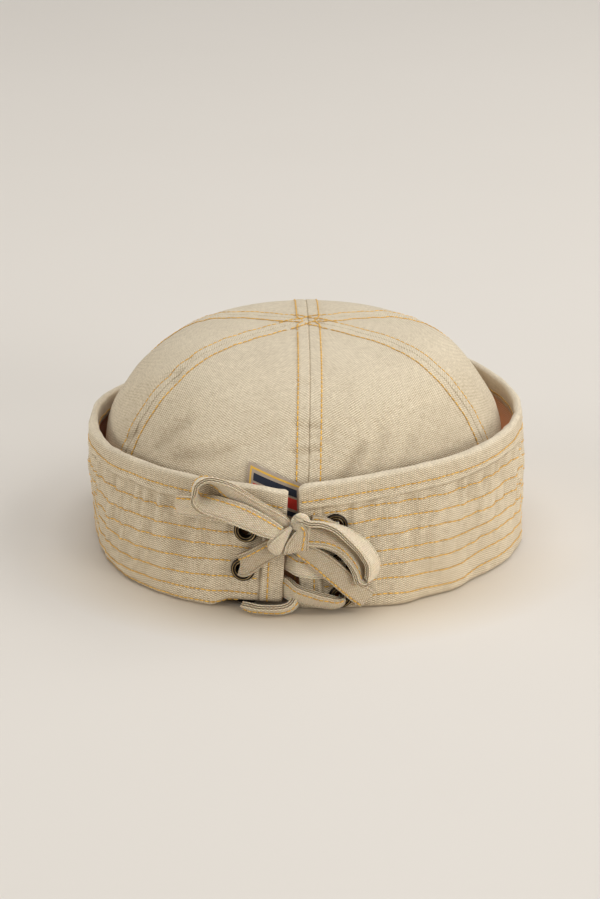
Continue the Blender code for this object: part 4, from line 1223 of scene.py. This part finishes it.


# %% [markdown]
# ## Canvas
#
# Canvas is a plain weave: each thread goes over one and under the next, so the cloth is a chequerboard of
# small bridges, warp on one square and weft on the other. With x and y counted in threads, sin(pi x)
# sin(pi y) is above 0 where the warp lies on top and below 0 where the weft does. The warp is drawn tight
# and catches the light, and the weft lies a little lower. Real yarn is uneven, so each thread also has its
# own tone, the threads wander, and the washed cloth is a little blotchy. The shade mark is painted light
# and shade. Below 0 it darkens folds, grooves and creases with painted shade. Above 0 it makes the cloth
# paler: a painted highlight on edges and painted light on lit parts, partly wear on the hems' edges.
# Where it is high the weave is also flattened.
#
# Two things here are light, not colour, and one is painted shade. The loose bow lets some light through, so
# its cloth scatters it under the surface. Inside the cuff, on the lit side, the cloth in the trough glows
# faintly, painted light for the light that comes through the cuff. In the trough between cuff and crown the
# colour goes toward a deep warm tone, painted shade for the warm light bounced about in its shadow.

# %% Canvas finish
def canvas(name, pieces, light, dark, thread=(0.92, 0.48), scatter=0.0):
    """A woven finish: light and dark are the colours of a raised thread and of the gaps beside it, thread its
    width and height, and scatter the share of the light that goes through the cloth."""
    constants = {"Roughness": 0.93, "Specular IOR Level": 0.20, "Sheen Weight": 0.12, "Sheen Roughness": 0.45}
    if scatter:
        constants |= {"Subsurface Weight": scatter, "Subsurface Scale": 2.2 * mm}
        constants["Subsurface Radius"] = (1.0, 0.5, 0.25)
    paint = Paint(name, {**constants, "Emission Strength": 1.0})
    place = paint.place()
    u, v, _ = paint.split(paint.uv())
    wander = paint.split(paint.noise(place, 70.0, 1.0, "Color"))
    x, y = u / (thread[0] * mm) + wander[0] * 1.4, v / (thread[1] * mm) + wander[1] * 2.2
    shade, hollow_shade = paint.mark("shade"), paint.mark("hollow_shade")
    # The weave is flattened where the shade mark is high: under the painted light on the inner hem, rim and
    # crown top, and on worn hem edges.
    weave_share = 1 - ((shade - 0.3) * 2.0).clipped() * 0.85
    weave = (x * math.pi).sin() * (y * math.pi).sin() * weave_share
    bridge = weave.size()
    warp, weft = paint.join(x, y * 0.15, 0.0), paint.join(x * 0.15, y, 7.0)
    yarn = paint.noise(warp, 1.0, 1.0) + paint.noise(weft, 1.0, 1.0) - 1.0
    blotch = paint.noise(place, 32.0, 3.0) - 0.5
    tone = (weave * 0.46 + bridge * 0.25 + 0.43 + yarn * 0.5 + blotch * 0.30).clipped()
    # Painted shade: in the trough between cuff and crown the colour goes toward a deep warm tone.
    colour = paint.mix(hollow_shade, paint.mix(tone, dark, light), (0.600, 0.190, 0.030))
    # Painted shade: where the shade mark is below 0 the colour goes toward a dark warm tone, in folds, grooves
    # and creases.
    colour = paint.mix((shade * -0.75).clipped(), colour, (0.115, 0.062, 0.014))
    # Painted light: where the shade mark is above 0 the colour goes toward a pale cream, partly wear on the
    # hems' edges.
    colour = paint.mix((shade * 0.35).clipped(), colour, (0.850, 0.770, 0.620))
    # Painted light: in the trough on the cap's right side the cloth glows faintly, for light coming through the
    # cuff.
    lit_side = ((paint.split(place)[0] - 0.05) * 25.0).clipped()
    glow = paint.mix(hollow_shade * lit_side, (0.0, 0.0, 0.0), (0.108, 0.070, 0.036))
    bumps = paint.bump(weave * 0.6 + bridge * 0.4 + yarn * 0.6, 0.14 * mm, 0.9)
    paint.feed({"Base Color": colour, "Normal": bumps, "Emission Color": glow}, pieces)


canvas("crown_canvas", gores, (0.828, 0.724, 0.537), (0.283, 0.203, 0.115))
canvas("cuff_canvas", [cuff_cloth], (0.885, 0.765, 0.560), (0.225, 0.154, 0.078))
canvas("lace_canvas", laces, (0.870, 0.765, 0.585), (0.375, 0.278, 0.162), (0.80, 0.44), 0.35)

# %% [markdown]
# ## Thread, brass and the label's weave
#
# The thread is a warm gold polyester, a little glossy. Antique brass is plated dark and then rubbed, so it
# is bright only where it stands out: the eyelets carry that as a mark on their crests. The label is a
# satin weave, so its ribs are finer than the canvas and its bands have crisp edges.

# %% Thread
thread = Paint("gold_thread", {"Roughness": 0.55, "Specular IOR Level": 0.35, "Sheen Weight": 0.1})
tone = thread.mark("tone") * 0.85 + (thread.noise(thread.place(), 700.0, 1.0) - 0.5) * 0.5
gold = thread.mix(tone.clipped(), (0.300, 0.125, 0.020), (0.910, 0.540, 0.085))
thread.feed({"Base Color": gold}, [cuff_stitches, crown_stitches, lace_stitches])

# %% Antique brass
brass = Paint("antique_brass", {"Metallic": 1.0})
scuffs = brass.noise(brass.place(), 900.0, 3.0)
bare = (brass.mark("bright") * 1.1 + (scuffs - 0.62) * 0.8).clipped()
plate = brass.mix(bare, (0.036, 0.028, 0.022), (0.480, 0.340, 0.150))
bumps = brass.bump(scuffs, 0.05 * mm, 0.5)
brass.feed({"Base Color": plate, "Roughness": 0.48 - bare * 0.20, "Normal": bumps}, eyelets)

# %% Woven label
weave = Paint("woven_label", {"Roughness": 0.7, "Specular IOR Level": 0.3, "Sheen Weight": 0.2})
u, v, _ = weave.split(weave.uv())
edge = (LABEL_SIZE[0] * mm / 2 - u.size()).low(LABEL_SIZE[1] * mm / 2 - v.size())
border = (edge > 1.1 * mm) * (edge < 1.9 * mm)
inside = edge > 2.8 * mm
navy = inside * ((v > 5.4 * mm) * (v < 8.4 * mm) + (v > -3.4 * mm) * (v < -1.2 * mm)).clipped()
red = inside * (v < 4.6 * mm) * (v > 0.0)
ribs, threads = (v / (0.32 * mm) * math.pi).sin().size(), (u / (0.45 * mm) * math.pi).sin().size()
bands = weave.mix(border, (0.400, 0.315, 0.235), (0.740, 0.430, 0.050))
bands = weave.mix(red, weave.mix(navy, bands, (0.008, 0.013, 0.030)), (0.620, 0.030, 0.015))
bands = weave.mix((ribs * 0.30 + threads * 0.25 + 0.60).clipped(), (0.02, 0.015, 0.012), bands)
weave.feed({"Base Color": bands, "Normal": weave.bump(ribs + threads * 0.6, 0.10 * mm, 0.8)}, [label])

# %% [markdown]
# ## The table and the light
#
# The cap lies on pale paper, painted darker and warmer close behind it: painted shadow, and painted bounce
# light for the colour the canvas throws back.
# The paper is level as far as any camera stands and curves up beyond, so no view shows a horizon. Six
# large soft lamps stand outside that circle: the strongest at the front right and low on the left, three
# smaller ones overhead and on the right, and a faint one at the front left. A dim white room fills the rest.

# %% Table
def table_top():
    """Level out to 1.6 m, then a bowl: z = (r - 1.6)^2 / 14, in metres."""
    radius = np.concatenate([[0.5], np.linspace(50, 350, 7), np.linspace(400, 6000, 57)])[:, None]
    angle = np.linspace(0, 360, 97)[:-1]
    points = in_plan(angle, radius, np.maximum(radius - 1600, 0) ** 2 / 14000 + 0 * angle)
    return surface("table", points, np.zeros((len(radius), 97, 2)), wrap=(False, True), flat_angle=180.0)


table = table_top()
paper = Paint("paper", {"Roughness": 0.85, "Specular IOR Level": 0.15})
mottle = paper.noise(paper.place(), 3.0, 3.0)
x, y, _ = paper.split(paper.place())
half_width, half_depth = HALF_WIDTH * mm, HALF_DEPTH * mm
ring = (x * x / half_width**2 + y * y / half_depth**2).root()
# Painted shadow and painted bounce light: close behind the cap the paper is darker and warmer.
near = (1 - (ring - 1) * 2.4).clipped() * (y * (-1 / half_depth) - 0.2).clipped()
white = paper.mix(mottle, (0.688, 0.642, 0.580), (0.712, 0.666, 0.608))
paper.feed({"Base Color": paper.mix(near, white, (0.600, 0.500, 0.360))}, [table])

# %% Light
CAP_MIDDLE = Vector((0.0, 0.0, 0.04))
LAMPS = {  # place, width, height and power
    "key": ((2.4, -2.4, 0.8), 1.6, 1.1, 51.7),
    "low_left": ((-4.0, -0.75, 1.0), 2.5, 1.1, 52.3),
    "far_right": ((1.8, 1.4, 1.8), 1.6, 1.6, 17.2),
    "near_right": ((2.1, -0.3, 1.9), 1.6, 1.6, 21.4),
    "overhead": ((0.0, 0.0, 2.6), 1.8, 1.8, 27.2),
    "low_front_left": ((-2.4, -2.6, 0.8), 1.6, 1.1, 8.4),
}
for name, (place, width, height, power) in LAMPS.items():
    lamp = bpy.data.objects.new(name, bpy.data.lights.new(name, "AREA"))
    lamp.data.shape, lamp.data.size, lamp.data.size_y, lamp.data.energy = "RECTANGLE", width, height, power
    lamp.location = place
    lamp.rotation_euler = (CAP_MIDDLE - lamp.location).to_track_quat("-Z", "Y").to_euler()
    bpy.context.scene.collection.objects.link(lamp)
world = bpy.data.worlds.new("room")
world.use_nodes = True
world.node_tree.nodes["Background"].inputs["Color"].default_value = (1.0, 1.0, 1.0, 1.0)
world.node_tree.nodes["Background"].inputs["Strength"].default_value = 0.30
bpy.context.scene.world = world
bpy.context.scene.view_settings.view_transform = "Standard"
print(len(LAMPS), "lamps of", sum(power for *_, power in LAMPS.values()), "W in all")
